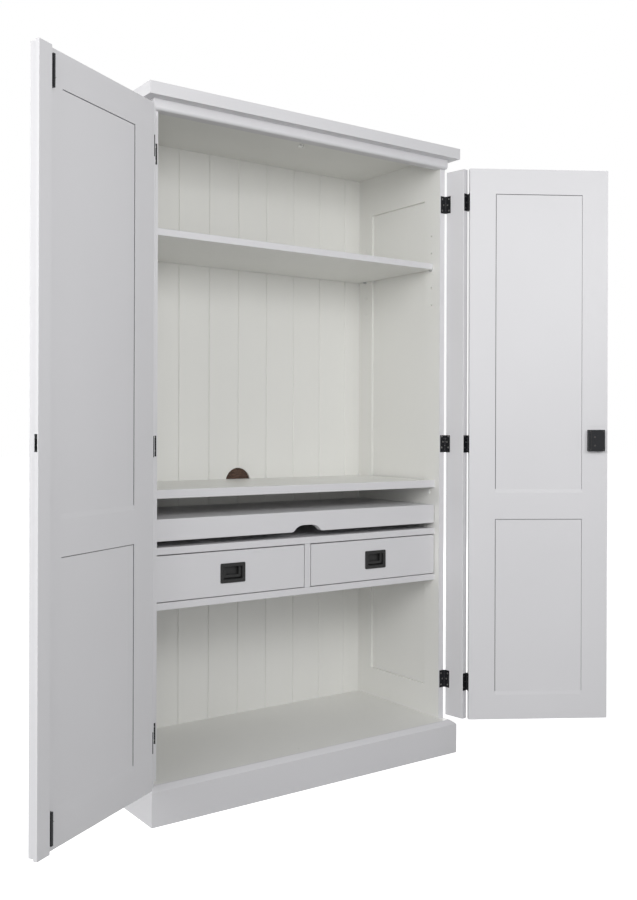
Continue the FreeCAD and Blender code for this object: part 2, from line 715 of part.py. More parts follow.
def slide_fixed():
    """The channel on the right side frame, open towards the tray."""
    y0, y1 = slide_span()
    centre = TRAY_TOP - SLIDE_DROP
    low = centre - SLIDE_HIGH / 2
    high = centre + SLIDE_HIGH / 2
    channel = box(HALF_INNER - SLIDE_CHANNEL, HALF_INNER, y0, y1, low, high)
    inside = box(HALF_INNER - SLIDE_CHANNEL, HALF_INNER - SLIDE_SKIN, y0, y1,
                 low + SLIDE_SKIN, high - SLIDE_SKIN)
    return channel.cut(inside)


def slide_moving():
    """The bar on the tray's edge, running in the channel."""
    y0, y1 = slide_span()
    centre = TRAY_TOP - SLIDE_DROP
    half = SLIDE_HIGH / 2 - SLIDE_SKIN - SLIDE_GAP
    return box(TRAY_HALF, HALF_INNER - SLIDE_SKIN - SLIDE_GAP, y0, y1,
               centre - half, centre + half)


# ---- butt hinges
def knuckle_spans(odd):
    """The heights of one leaf's knuckles, from the hinge's middle."""
    step = HINGE_HIGH / KNUCKLES
    spans = []
    for k in range(1 if odd else 0, KNUCKLES, 2):
        low = -HINGE_HIGH / 2 + k * step
        spans.append((low + KNUCKLE_GAP / 2, low + step - KNUCKLE_GAP / 2))
    return spans


def hinge_leaf(side, odd):
    """One leaf about an axis on Z: side 1 lies on +Y of the gap, side -1 on -Y."""
    near = LEAF_GAP / 2 - HINGE_LEAF_T
    low_y, high_y = sorted((side * near, side * LEAF_GAP / 2))
    leaf = box(HINGE_LEAF_START, HINGE_LEAF_START + HINGE_LEAF_W, low_y, high_y,
               -HINGE_HIGH / 2, HINGE_HIGH / 2)
    pieces = []
    for low, high in knuckle_spans(odd):
        pieces.append(rod(HINGE_KNUCKLE_R, Vector(0, 0, low), Z_AXIS, high - low))
        pieces.append(box(HINGE_PIN_R, HINGE_LEAF_START, low_y, high_y, low, high))
    leaf = leaf.multiFuse(pieces).removeSplitter()
    return leaf.cut(rod(HINGE_PIN_R + PIN_RUNNING_GAP, Vector(0, 0, -HINGE_HIGH), Z_AXIS,
                        2 * HINGE_HIGH))


def hinge_pin():
    return rod(HINGE_PIN_R, Vector(0, 0, -HINGE_HIGH / 2), Z_AXIS, HINGE_HIGH)


def along_line(piece, axis_point, turn_deg):
    """The three hinges of one line, with the piece's +X turned to where its leaf lies."""
    placed = []
    for z in HINGE_CENTRES:
        copy = piece.copy()
        copy.rotate(Vector(0, 0, 0), Z_AXIS, turn_deg)
        copy.translate(Vector(axis_point.x, axis_point.y, z))
        placed.append(copy)
    return placed


def carcass_leaves():
    """Leaves on the front edge of the right side frame."""
    return along_line(hinge_leaf(-1, False), CARCASS_AXIS, 180)


def strip_leaves():
    """Leaves on the inside of the strip, and on its far edge."""
    inside = along_line(hinge_leaf(1, True), CARCASS_AXIS, 180)
    edge = along_line(hinge_leaf(-1, False), DOOR_AXIS, 90)
    return inside + edge


def door_leaves():
    return along_line(hinge_leaf(1, True), DOOR_AXIS, 90)


def knuckle_room():
    """The hollows in both leaves' edges that the outer knuckles turn in."""
    high = HINGE_HIGH + 2 * KNUCKLE_ROOM
    return [rod(HINGE_KNUCKLE_R + KNUCKLE_ROOM, Vector(DOOR_AXIS.x, DOOR_AXIS.y, z - high / 2),
                Z_AXIS, high) for z in HINGE_CENTRES]


# ---- doors, shut, right-hand side
def strip_leaf():
    board = box(STRIP_END_X, HALF_OUTER, DOOR_OUT_Y, DOOR_IN_Y, DOOR_FOOT, DOOR_HEAD)
    board = eased(board, Z_AXIS, DOOR_EASE)
    for room in knuckle_room():
        board = board.cut(room)
    return board


def door_windows():
    """The two panel openings of a wide leaf, as (low x, high x, low z, high z)."""
    x0 = DOOR_LOCK_X + DOOR_STILE_W
    x1 = DOOR_HINGE_X - DOOR_STILE_W
    return [
        (x0, x1, DOOR_FOOT + DOOR_BOTTOM_RAIL, DOOR_MID_RAIL_LOW),
        (x0, x1, DOOR_MID_RAIL_HIGH, DOOR_HEAD - DOOR_TOP_RAIL)]


def bevel_cut(window, face_y, deep_y):
    """The slope on the rail below a window, from the rail's face down to the panel."""
    x0, x1, z0, z1 = window
    return prism([(x0, face_y, z0 - BEVEL_W), (x0, deep_y, z0), (x0, face_y, z0)],
                 Vector(x1 - x0, 0, 0))


def door_cuts():
    """The slopes on both faces and the grooves that hold the panels."""
    middle = (DOOR_IN_Y + DOOR_OUT_Y) / 2
    deep = PANEL_TONGUE + TONGUE_GAP
    cuts = knuckle_room()
    for window in door_windows():
        x0, x1, z0, z1 = window
        cuts.append(bevel_cut(window, DOOR_IN_Y, DOOR_IN_Y - PANEL_RECESS))
        cuts.append(bevel_cut(window, DOOR_OUT_Y, DOOR_OUT_Y + PANEL_RECESS))
        cuts.append(box(x0 - deep, x1 + deep,
                        middle - DOOR_TONGUE_T / 2, middle + DOOR_TONGUE_T / 2,
                        z0 - deep, z1 + deep))
    return cuts


def trimmed(board):
    return board.cut(door_cuts())


def door_stiles():
    hinge_side = box(DOOR_HINGE_X - DOOR_STILE_W, DOOR_HINGE_X, DOOR_OUT_Y, DOOR_IN_Y,
                     DOOR_FOOT, DOOR_HEAD)
    lock_side = box(DOOR_LOCK_X, DOOR_LOCK_X + DOOR_STILE_W, DOOR_OUT_Y, DOOR_IN_Y,
                    DOOR_FOOT, DOOR_HEAD)
    return [trimmed(hinge_side), trimmed(lock_side)]


def door_rails():
    x0 = DOOR_LOCK_X + DOOR_STILE_W
    x1 = DOOR_HINGE_X - DOOR_STILE_W
    levels = [
        (DOOR_FOOT, DOOR_FOOT + DOOR_BOTTOM_RAIL),
        (DOOR_MID_RAIL_LOW, DOOR_MID_RAIL_HIGH),
        (DOOR_HEAD - DOOR_TOP_RAIL, DOOR_HEAD)]
    return [trimmed(box(x0, x1, DOOR_OUT_Y, DOOR_IN_Y, z0, z1)) for z0, z1 in levels]


def door_panels():
    """Panels with a tongue all round and a field that stands almost flush on both
    faces, clear of the frame at its sides and its top."""
    middle = (DOOR_IN_Y + DOOR_OUT_Y) / 2
    half_field = DOOR_T / 2 - PANEL_RECESS
    panels = []
    for x0, x1, z0, z1 in door_windows():
        tongue = box(x0 - PANEL_TONGUE, x1 + PANEL_TONGUE,
                     middle - DOOR_TONGUE_T / 2, middle + DOOR_TONGUE_T / 2,
                     z0 - PANEL_TONGUE, z1 + PANEL_TONGUE)
        field = box(x0 + LOCK_SIDE_QUIRK, x1 - HINGE_SIDE_QUIRK,
                    middle - half_field, middle + half_field, z0, z1 - TOP_QUIRK)
        panels.append(tongue.fuse(field).removeSplitter())
    return panels


# ---- meeting strip, strike, bolts (on the passive leaf), lock (on the other)
ASTRAGAL_X0 = DOOR_LOCK_X - ASTRAGAL_OVER
STRIKE_Y0 = DOOR_IN_Y + STRIKE_LIFT
LOCK_BOLT_Y0 = DOOR_IN_Y + LOCK_BOLT_LIFT
LOCK_X0 = DOOR_LOCK_X + LOCK_SETBACK


def strike_plate():
    plate = box(ASTRAGAL_X0, ASTRAGAL_X0 + STRIKE_T, STRIKE_Y0, STRIKE_Y0 + STRIKE_W,
                STRIKE_FOOT, STRIKE_FOOT + STRIKE_HIGH)
    return plate.cut(lock_bolt_slot())


def lock_bolt_slot():
    """Where the lock's bolt enters the meeting strip, seen from the passive leaf."""
    deep = LOCK_BOLT_TRAVEL - (LOCK_X0 + ASTRAGAL_X0) + KEEPER_SPARE
    return box(ASTRAGAL_X0, ASTRAGAL_X0 + deep,
               LOCK_BOLT_Y0 - LOCK_CLEAR, LOCK_BOLT_Y0 + LOCK_BOLT_T + LOCK_CLEAR,
               LOCK_Z - LOCK_BOLT_HIGH / 2 - LOCK_CLEAR,
               LOCK_Z + LOCK_BOLT_HIGH / 2 + LOCK_CLEAR)


def astragal():
    """The strip on the passive leaf that the other leaf shuts against."""
    strip = box(ASTRAGAL_X0, ASTRAGAL_X0 + ASTRAGAL_W, DOOR_IN_Y, DOOR_IN_Y + ASTRAGAL_T,
                DOOR_FOOT, DOOR_HEAD)
    rebate = box(ASTRAGAL_X0, DOOR_LOCK_X, DOOR_IN_Y, DOOR_IN_Y + ASTRAGAL_REBATE,
                 DOOR_FOOT, DOOR_HEAD)
    let_in = box(ASTRAGAL_X0, ASTRAGAL_X0 + STRIKE_T, STRIKE_Y0, STRIKE_Y0 + STRIKE_W,
                 STRIKE_FOOT, STRIKE_FOOT + STRIKE_HIGH)
    return strip.cut([rebate, let_in, lock_bolt_slot()])


def lock_case():
    """A rim lock's box, hollow for its bolt, open at the back for the key."""
    x1 = LOCK_X0 + LOCK_W
    y1 = DOOR_IN_Y + LOCK_T
    z0 = LOCK_Z - LOCK_HIGH / 2
    z1 = LOCK_Z + LOCK_HIGH / 2
    case = eased(box(LOCK_X0, x1, DOOR_IN_Y, y1, z0, z1), Y_AXIS, EASE)
    run = box(LOCK_X0, LOCK_X0 + LOCK_BOLT_LONG + LOCK_CLEAR,
              LOCK_BOLT_Y0 - LOCK_CLEAR, LOCK_BOLT_Y0 + LOCK_BOLT_T + LOCK_CLEAR,
              LOCK_Z - LOCK_BOLT_HIGH / 2 - LOCK_CLEAR, LOCK_Z + LOCK_BOLT_HIGH / 2 + LOCK_CLEAR)
    works = box(LOCK_X0 + LOCK_BOLT_LONG + LOCK_CLEAR, x1 - LOCK_WALL,
                DOOR_IN_Y, y1 - LOCK_WALL, z0 + LOCK_WALL, z1 - LOCK_WALL)
    return case.cut([run, works])


def lock_bolt():
    return box(LOCK_X0, LOCK_X0 + LOCK_BOLT_LONG, LOCK_BOLT_Y0, LOCK_BOLT_Y0 + LOCK_BOLT_T,
               LOCK_Z - LOCK_BOLT_HIGH / 2, LOCK_Z + LOCK_BOLT_HIGH / 2)


def keyhole():
    x = LOCK_X0 + (LOCK_BOLT_LONG + LOCK_W) / 2
    bore = rod(KEYHOLE_R, Vector(x, DOOR_OUT_Y, LOCK_Z), Y_AXIS, DOOR_T)
    slot = box(x - KEYHOLE_SLOT_W / 2, x + KEYHOLE_SLOT_W / 2, DOOR_OUT_Y, DOOR_IN_Y,
               LOCK_Z - KEYHOLE_SLOT_LONG, LOCK_Z)
    return bore.fuse(slot)


def bolt_case(upward):
    """A surface bolt's case, its open end BOLT_FROM_EDGE short of the leaf's end."""
    low, high = bolt_case_span(upward)
    case = box(BOLT_X - BOLT_CASE_W / 2, BOLT_X + BOLT_CASE_W / 2,
               DOOR_IN_Y, DOOR_IN_Y + BOLT_CASE_T, low, high)
    bore_low = bolt_rod_low(upward) - (BOLT_CLEAR if upward else BOLT_TRAVEL)
    bore = rod(BOLT_ROD_R + BOLT_CLEAR, Vector(BOLT_X, BOLT_Y, bore_low), Z_AXIS,
               BOLT_ROD_LONG + BOLT_TRAVEL + BOLT_CLEAR)
    wide = BOLT_KNOB_R + BOLT_CLEAR
    knob_z = bolt_knob_z(upward)
    far = knob_z + (BOLT_TRAVEL if upward else -BOLT_TRAVEL)
    slot = box(BOLT_X, BOLT_X + BOLT_CASE_W, BOLT_Y - wide, BOLT_Y + wide,
               min(knob_z, far) - wide, max(knob_z, far) + wide)
    return case.cut([bore, slot])


def bolt_case_span(upward):
    if upward:
        return DOOR_HEAD - BOLT_FROM_EDGE - BOLT_CASE_LONG, DOOR_HEAD - BOLT_FROM_EDGE
    return DOOR_FOOT + BOLT_FROM_EDGE, DOOR_FOOT + BOLT_FROM_EDGE + BOLT_CASE_LONG


def bolt_rod_low(upward):
    low, high = bolt_case_span(upward)
    return high - BOLT_ROD_LONG if upward else low


def bolt_knob_z(upward):
    low, high = bolt_case_span(upward)
    return high - BOLT_KNOB_DOWN if upward else low + BOLT_KNOB_DOWN


def bolt_rod(upward):
    """The sliding rod, drawn back, with its thumb knob in the case's slot."""
    shaft = rod(BOLT_ROD_R, Vector(BOLT_X, BOLT_Y, bolt_rod_low(upward)), Z_AXIS, BOLT_ROD_LONG)
    knob = rod(BOLT_KNOB_R, Vector(BOLT_X, BOLT_Y, bolt_knob_z(upward)), X_AXIS,
               BOLT_CASE_W / 2 + BOLT_KNOB_OUT)
    return shaft.fuse(knob).removeSplitter()


# ---- the whole
def save_pair(name, shapes):
    """A right-hand piece, and its mirror on the left."""
    save("right_" + name, *shapes)
    save("left_" + name, *[mirrored(s) for s in shapes])


def save_strip_pair(name, shapes):
    save("right_" + name, *[right_strip(s) for s in shapes])
    save("left_" + name, *[left_strip(s) for s in shapes])


def save_door_pair(name, shapes):
    save("right_" + name, *[right_door(s) for s in shapes])
    save("left_" + name, *[left_door(s) for s in shapes])


def main():
    os.makedirs("parts", exist_ok=True)
    save("plinth_front", plinth_front())
    save("plinth_sides", plinth_side(), mirrored(plinth_side()))
    save("plinth_bearers", plinth_back(), plinth_bearer())
    save("bottom_board", bottom_board())
    save("top_board", top_board())
    save("top_rail", top_rail())
    save("frieze", frieze())
    save("crown_front", crown_front())
    save("crown_sides", crown_side(), mirrored(crown_side()))
    save_pair("side_frame", [side_frame()])
    save_pair("side_panels", side_panels())
    save("back_boards", *back_boards())
    save("desk_shelf", desk_shelf())
    save("upper_shelf", upper_shelf())
    save("shelf_pins", *shelf_pins(), *[mirrored(p) for p in shelf_pins()])
    save("cover_caps", *cover_caps())
    save("drawer_unit_top", unit_board(DRAWER_CEILING))
    save("drawer_unit_bottom", unit_board(UNIT_UNDER))
    save("drawer_divider", drawer_divider())
    save_pair("drawer_front", [drawer_front()])
    save_pair("drawer_sides", drawer_sides())
    save_pair("drawer_back", [drawer_back()])
    save_pair("drawer_bottom", [drawer_bottom_panel(TONGUE_GAP)])
    save_pair("pull_plate", [pull_plate()])
    save_pair("pull_bail", [pull_bail()])
    save("tray_board", tray_board())
    save("tray_apron", tray_apron())
    save("tray_slides_fixed", slide_fixed(), mirrored(slide_fixed()))
    save("tray_slides_moving", slide_moving(), mirrored(slide_moving()))
    leaves = carcass_leaves()
    pins = along_line(hinge_pin(), CARCASS_AXIS, 0)
    save("carcass_hinge_leaves", *leaves, *[mirrored(s) for s in leaves])
    save("carcass_hinge_pins", *pins, *[mirrored(s) for s in pins])
    save_strip_pair("strip_leaf", [strip_leaf()])
    save_strip_pair("strip_hinge_leaves", strip_leaves())
    save_strip_pair("strip_hinge_pins", along_line(hinge_pin(), DOOR_AXIS, 0))
    save_door_pair("door_hinge_leaves", door_leaves())
    save_door_pair("door_rails", door_rails())
    save_door_pair("door_panels", door_panels())
    hinge_stile, lock_stile = door_stiles()
    save("left_door_stiles", left_door(hinge_stile), left_door(lock_stile))
    save("right_door_stiles", right_door(hinge_stile), right_door(lock_stile.cut(keyhole())))
    save("astragal", left_door(astragal()))
    save("strike_plate", left_door(strike_plate()))
    save("door_bolt_cases", left_door(bolt_case(True)), left_door(bolt_case(False)))
    save("top_bolt_rod", left_door(bolt_rod(True)))
    save("bottom_bolt_rod", left_door(bolt_rod(False)))
    save("lock_case", right_door(lock_case()))
    save("lock_bolt", right_door(lock_bolt()))


main()
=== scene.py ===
"""Dresses the computer armoire: paint, black fittings, screws, drawer timber and a plain studio."""

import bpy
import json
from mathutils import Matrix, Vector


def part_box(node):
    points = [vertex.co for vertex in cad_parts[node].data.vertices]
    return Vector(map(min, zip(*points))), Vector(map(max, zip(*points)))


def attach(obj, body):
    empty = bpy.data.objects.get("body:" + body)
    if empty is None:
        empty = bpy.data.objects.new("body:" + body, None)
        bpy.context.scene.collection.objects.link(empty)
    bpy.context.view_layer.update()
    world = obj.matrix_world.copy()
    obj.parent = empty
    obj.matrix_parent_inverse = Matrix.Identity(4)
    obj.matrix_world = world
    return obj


bl_info = {
    "name": "Computer Armoire Finish",
    "version": (1, 0, 0),
    "blender": (4, 5, 0),
    "location": "View3D > Sidebar > Armoire",
    "description": "Paints the armoire, fits its screws and small parts, and sets up a studio",
    "category": "Object",
}

import json
import math

import bmesh
import bpy
from bpy.props import FloatProperty, FloatVectorProperty, IntProperty, PointerProperty
from mathutils import Matrix, Vector

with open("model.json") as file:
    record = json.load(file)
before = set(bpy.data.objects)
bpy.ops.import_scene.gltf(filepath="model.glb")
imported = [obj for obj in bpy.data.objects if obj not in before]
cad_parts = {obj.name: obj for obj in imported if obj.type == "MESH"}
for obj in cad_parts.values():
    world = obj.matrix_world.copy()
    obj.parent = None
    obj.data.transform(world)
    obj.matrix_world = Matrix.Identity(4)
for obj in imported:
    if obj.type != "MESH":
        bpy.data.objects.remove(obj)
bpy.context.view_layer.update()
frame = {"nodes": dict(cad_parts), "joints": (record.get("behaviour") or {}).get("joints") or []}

JOINTS = {joint["name"]: joint for joint in frame["joints"]}
NODES = frame["nodes"]


def both(part):
    """A part's name on the left and on the right."""
    return ("left_" + part, "right_" + part)


CARCASS_BOARDS_LEVEL = (
    "plinth_front", "plinth_bearers", "top_rail", "frieze", "crown_front", "drawer_unit_top",
    "drawer_unit_bottom",
)
CARCASS_BOARDS_DEEP = ("plinth_sides", "crown_sides")
SHELVES = ("upper_shelf", "desk_shelf")
DRAWER_AND_TRAY_FRONTS = (*both("drawer_front"), "tray_apron", "tray_board")
LEAF_UPRIGHT = (*both("strip_leaf"), "astragal")
WIDE_LEAVES = both("door")
FITTINGS = {
    "black_lacquer": (
        "carcass_hinge_leaves", *both("strip_hinge_leaves"), *both("door_hinge_leaves"),
        "lock_case", "door_bolt_cases", "strike_plate"),
    "pull_lacquer": (*both("pull_plate"), *both("pull_bail")),
    "dark_steel": ("carcass_hinge_pins", *both("strip_hinge_pins")),
    "bright_steel": ("top_bolt_rod", "bottom_bolt_rod", "lock_bolt"),
    "zinc_plate": ("tray_slides_fixed", "tray_slides_moving", "shelf_pins"),
}
# The setting that holds the colour of each metal, and how rough a plated one is.
METALS = {
    "black_lacquer": ("black", None), "pull_lacquer": ("pull_black", None),
    "dark_steel": ("worn", 0.4), "bright_steel": ("bright", 0.3), "zinc_plate": ("zinc", 0.36),
}

FRONT = Vector((0.0, -1.0, 0.0))
REAR = Vector((0.0, 1.0, 0.0))
RIGHT = Vector((1.0, 0.0, 0.0))

# The limits of the grey seams keep this far from the walls and faces that they tell apart. The grey
# is painted shade in the grooves over the grey of the open joints.
SEAM_SHADE_SPARE = 0.0003
# Screw recesses are cut at this many times their size, because the cut fails on tiny meshes.
CUT_SCALE = 1000.0
# Sizes of a screw head, as shares of its radius, and how much of its depth is sunk.
HEAD_DEPTH, HEAD_FOOT, SLOT_LENGTH, SLOT_WIDTH, SLOT_DEPTH = 0.42, 0.7, 1.25, 0.28, 0.3
HEAD_SUNK = 0.9
# How far across a hinge leaf its lower, middle and upper screws stand.
SCREW_REACH = (0.62, 0.3, 0.62)
# Across the lock's case: the rib's two edges and the rivets. Up it: the two rivets.
RIB_SHARES, RIVET_ACROSS, RIVETS_UP = (0.83, 0.87), 0.63, (0.26, 0.66)
# Along a tray slide: its three screws.
SLIDE_SCREWS = (0.06, 0.5, 0.94)
# A Mix node's colour sockets share their names with its other kinds, so they go by number.
MIX_FIRST, MIX_SECOND, MIX_RESULT = 6, 7, 2
# So do a Random Value node's lowest and highest float, and its float result.
CHANCE_LOW, CHANCE_HIGH, CHANCE_RESULT = 2, 3, 1
WHITE = (1.0, 1.0, 1.0, 1.0)

# Each lamp's name, place, the point it faces, its side and the setting that holds its power.
LAMPS = (
    ("key_lamp", (-4.6, -3.2, 2.6), (0.0, 0.0, 0.9), 2.0, "key_power"),
    ("side_lamp", (-4.0, -1.0, 2.0), (0.0, 0.0, 0.9), 2.0, "side_power"),
    ("low_lamp", (-1.6, -2.6, 0.9), (0.0, 0.0, 0.9), 1.0, "low_power"),
    ("near_lamp", (-0.9, -2.0, 1.75), (0.0, 0.0, 1.7), 0.8, "near_power"),
    ("inner_lamp", (0.4, -2.4, 1.75), (0.2, 0.0, 1.7), 0.8, "inner_power"),
    ("rear_right_lamp", (4.5, 3.0, 2.4), (0.0, 0.3, 0.9), 2.4, "rear_power"),
    ("rear_left_lamp", (-3.5, 4.5, 2.4), (0.0, 0.3, 0.9), 2.4, "rear_power"),
)


# ---- settings
def a_colour(name, description, default):
    """A colour."""
    return FloatVectorProperty(
        name=name, description=description, subtype="COLOR", size=3, min=0.0, max=1.0,
        default=default)


def a_length(name, description, low, high, default):
    """A length in metres, or a pair of them, with its limits."""
    kind, size = (FloatVectorProperty, {"size": 2}) if type(default) is tuple else (
        FloatProperty, {})
    return kind(name=name, description=description, unit="LENGTH", min=low, max=high,
                default=default, **size)


def a_share(name, description, default):
    """A share from 0 to 1."""
    return FloatProperty(
        name=name, description=description, subtype="FACTOR", min=0.0, max=1.0, default=default)


def a_power(name, description, default):
    """The power of a lamp."""
    return FloatProperty(
        name=name, description=description, unit="POWER", min=0.0, default=default)


class PaintSettings(bpy.types.PropertyGroup):
    """Colour and texture of the painted timber."""

    outside: a_colour("Outside", "White of the doors and the carcass", (0.70, 0.695, 0.712))
    # The inside white is painted light: the same white paint made lighter and warmer for the light
    # that falls and bounces inside the carcass.
    inside: a_colour(
        "Inside", "Warmer white of the back boards, panels and shelves", (0.80, 0.798, 0.77))
    # The seam grey is the grey of the open joints, deepened as painted shade on the groove walls
    # round each panel. The seam depth is where that painted shade starts below the frame's face.
    seam: a_colour("Seam", "Grey of the open joints round the door panels", (0.24, 0.24, 0.25))
    seam_shade_depth: a_length(
        "Seam depth", "From the face of a door's frame to where its joints turn grey",
        0.0, 0.005, 0.0008)
    stile_width: a_length(
        "Stile width", "Width of the uprights of the wide leaves", 0.01, 0.2, 0.0755)
    inside_over: a_length(
        "Inside paint depth", "Depth behind a front edge where the inside paint starts",
        0.0, 0.02, 0.0008)
    roughness: a_share("Roughness", "Roughness of the satin paint", 0.42)
    shelf_roughness: a_share(
        "Shelf roughness", "Roughness of the desk and shelves, rubbed smoother", 0.33)
    brush_depth: a_length(
        "Brush depth", "Height of the brush marks in the paint", 0.0, 0.001, 0.00006)


class FittingSettings(bpy.types.PropertyGroup):
    """Colours and sizes of the metal fittings."""

    black: a_colour(
        "Black", "Lacquer of the hinges, lock, strike and bolts", (0.012, 0.0125, 0.0145))
    pull_black: a_colour("Pull black", "Lacquer of the drawer pulls", (0.024, 0.024, 0.024))
    worn: a_colour(
        "Worn metal", "Metal that shows where the lacquer has rubbed thin", (0.16, 0.155, 0.15))
    bright: a_colour(
        "Bright steel", "Steel of the screws, rivets and bolt rods", (0.36, 0.355, 0.345))
    zinc: a_colour("Zinc", "Plating of the tray slides and the shelf pins", (0.56, 0.57, 0.58))
    leaf_start: a_length(
        "Leaf start", "From a hinge pin's axis to the near edge of its leaves", 0.0, 0.02, 0.0030)
    leaf_width: a_length("Leaf width", "Width of a hinge leaf", 0.005, 0.05, 0.015)
    leaf_face: a_length(
        "Leaf face", "From a hinge pin's axis to the face of each leaf", 0.0, 0.005, 0.0002)
    screw_rise: a_length(
        "Screw spacing", "Upright distance between the screws of a hinge leaf", 0.005, 0.03, 0.0165)
    screw_radius: a_length(
        "Screw head radius", "Radius of the countersunk heads", 0.001, 0.006, 0.0026)
    small_screw_radius: a_length(
        "Small screw radius", "Radius of the screws of the pulls, lock and bolts",
        0.001, 0.005, 0.0018)
    bead_radius: a_length(
        "Bead radius", "Radius of the raised bead round a pull's cup", 0.0002, 0.003, 0.0009)
    cup_half: a_length(
        "Bead half sizes", "Half width and half height of the bead round a cup",
        0.005, 0.06, (0.0284, 0.0174))
    rivet_radius: a_length(
        "Rivet radius", "Radius of the two rivets of the lock's cover", 0.001, 0.006, 0.0027)
    cover_inset: a_length(
        "Cover inset", "From the lock case's edges to the edges of its cover", 0.0, 0.01, 0.0011)
    cover_thick: a_length(
        "Cover thickness", "Height of the lock's cover over its case", 0.0001, 0.003, 0.0006)
    # The sheet cup behind the strike's slot is painted shade: a thin black lining that darkens the
    # slot.
    shade_cup_deep: a_length(
        "Liner depth", "Depth of the sheet cup behind the strike plate's slot", 0.001, 0.02, 0.0043)
    shade_cup_skin: a_length("Liner thickness", "Thickness of the sheet cup", 0.0001, 0.001, 0.0002)
    shade_cup_half: a_length(
        "Liner half sizes", "Half width and half height of the sheet cup",
        0.0005, 0.03, (0.00195, 0.01025))
    strike_shift: a_length(
        "Strike shift", "From the slot's middle to the strike plate's, out and up",
        0.0, 0.01, (0.0002, 0.0025))
    slide_skin: a_length("Slide skin", "Thickness of the tray slides' sheet", 0.0005, 0.004, 0.0015)
    seed: IntProperty(
        name="Seed", description="Seed for the turn of each screw", min=0, default=7)


class TimberSettings(bpy.types.PropertyGroup):
    """Colours of the unpainted drawer boxes and of the felt."""

    pine: a_colour("Pine", "Light early wood of the drawer boxes", (0.66, 0.50, 0.31))
    pine_dark: a_colour("Late wood", "Darker lines of the drawer boxes' grain", (0.47, 0.29, 0.14))
    felt: a_colour("Felt", "Dust felt in the cable hole", (0.075, 0.042, 0.028))
    felt_radius: a_length(
        "Felt radius", "Radius of the felt flap in the cable hole", 0.01, 0.1, 0.0419)
    felt_drop: a_length(
        "Felt drop", "From the desk's top down to the centre of the cable hole", 0.0, 0.05, 0.0093)
    felt_thick: a_length("Felt thickness", "Thickness of the felt flap", 0.0005, 0.006, 0.002)


class StudioSettings(bpy.types.PropertyGroup):
    """Lamps, background and camera of the studio."""

    key_power: a_power("Key", "Power of the lamp high on the left", 50.0)
    side_power: a_power(
        "Side", "Power of the lamp at the left, which lights the leaf's free edge", 62.0)
    low_power: a_power(
        "Low", "Power of the lamp beside the camera, which reaches under the shelves", 14.0)
    near_power: a_power("Near", "Power of the small lamp at the left of the upper space", 9.5)
    inner_power: a_power("Inner", "Power of the lamp in front of the upper space", 14.0)
    rear_power: a_power("Rear", "Power of each of the two lamps behind the armoire", 60.0)
    ambient: FloatProperty(
        name="Ambient", description="Strength of the light from all round",
        min=0.0, max=2.0, default=0.25)
    focal: FloatProperty(
        name="Focal length", description="Focal length on a 36 mm frame, in millimetres",
        min=10.0, max=200.0, default=40.017)
    yaw: FloatProperty(
        name="Yaw", description="Turn of the view to the right of straight on",
        subtype="ANGLE", default=math.radians(35.394))
    roll: FloatProperty(
        name="Roll", description="Tilt of the camera about its own axis",
        subtype="ANGLE", default=math.radians(0.175))
    shift: FloatProperty(
        name="Shift", description="Upright shift of the picture, as a share of its height",
        default=-21.25 / 900.0)
    stand: FloatVectorProperty(
        name="Stand", description="Where the camera stands",
        subtype="TRANSLATION", unit="LENGTH", size=3, default=(-1.5321, -2.1852, 0.9418))


# ---- node helpers
def add(tree, kind, inputs=None, **settings):
    """A new node. An input is given its value, or the socket that feeds it."""
    node = tree.nodes.new(kind)
    for label, value in settings.items():
        setattr(node, label, value)
    for label, value in (inputs or {}).items():
        if isinstance(value, bpy.types.NodeSocket):
            tree.links.new(value, node.inputs[label])
        else:
            node.inputs[label].default_value = value
    return node


def empty_tree(owner):
    """A material's or a world's own tree, with nothing in it."""
    owner.use_nodes = True
    owner.node_tree.nodes.clear()
    return owner.node_tree


def maths(tree, operation, *values):
    """The result of a Math node over numbers and sockets."""
    return add(tree, "ShaderNodeMath", dict(enumerate(values)), operation=operation).outputs[0]


def mapping(tree, scale=(1.0, 1.0, 1.0), turn=0.0, at=(0.0, 0.0, 0.0)):
    """Object coordinates, turned about Z, shifted and then scaled."""
    coords = add(tree, "ShaderNodeTexCoord")
    turned = add(tree, "ShaderNodeMapping", {
        "Vector": coords.outputs["Object"], "Location": at, "Rotation": (0.0, 0.0, turn)})
    stretched = add(tree, "ShaderNodeMapping", {
        "Vector": turned.outputs["Vector"], "Scale": scale})
    return stretched.outputs["Vector"]


def noise(tree, vector, scale, detail=2.0, roughness=0.5, distortion=0.0):
    """A noise texture's value."""
    return add(tree, "ShaderNodeTexNoise", {
        "Vector": vector, "Scale": scale, "Detail": detail, "Roughness": roughness,
        "Distortion": distortion}).outputs["Fac"]


def ramp(tree, value, *stops):
    """A colour ramp over (position, colour) stops."""
    node = add(tree, "ShaderNodeValToRGB", {"Fac": value})
    elements = node.color_ramp.elements
    for element, (position, _) in zip(elements, (stops[0], stops[-1])):
        element.position = position
    for position, _ in stops[1:-1]:
        elements.new(position)
    for element, (_, colour) in zip(elements, stops):
        element.color = (*colour, 1.0)
    return node.outputs["Color"]


def shade(colour, factor):
    """A colour made lighter or darker."""
    return tuple(min(1.0, channel * factor) for channel in colour[:3])


def shades(tree, value, colour, *stops):
    """A ramp of one colour over (position, factor) stops."""
    return ramp(tree, value, *((position, shade(colour, factor)) for position, factor in stops))


def spread(tree, value, low, high):
    """A value's middle range mapped onto low to high."""
    return add(tree, "ShaderNodeMapRange", {
        "Value": value, "From Min": 0.3, "From Max": 0.7, "To Min": low,
        "To Max": high}).outputs["Result"]


def bump(tree, height, distance, strength, below=None):
    """A bump over an optional bump below it."""
    inputs = {"Height": height, "Distance": distance, "Strength": strength}
    if below is not None:
        inputs["Normal"] = below
    return add(tree, "ShaderNodeBump", inputs).outputs["Normal"]


def blend(tree, share, first, second):
    """The first colour where the share is 0 and the second where it is 1."""
    return add(
        tree, "ShaderNodeMix", {"Factor": share, MIX_FIRST: first, MIX_SECOND: second},
        data_type="RGBA").outputs[MIX_RESULT]


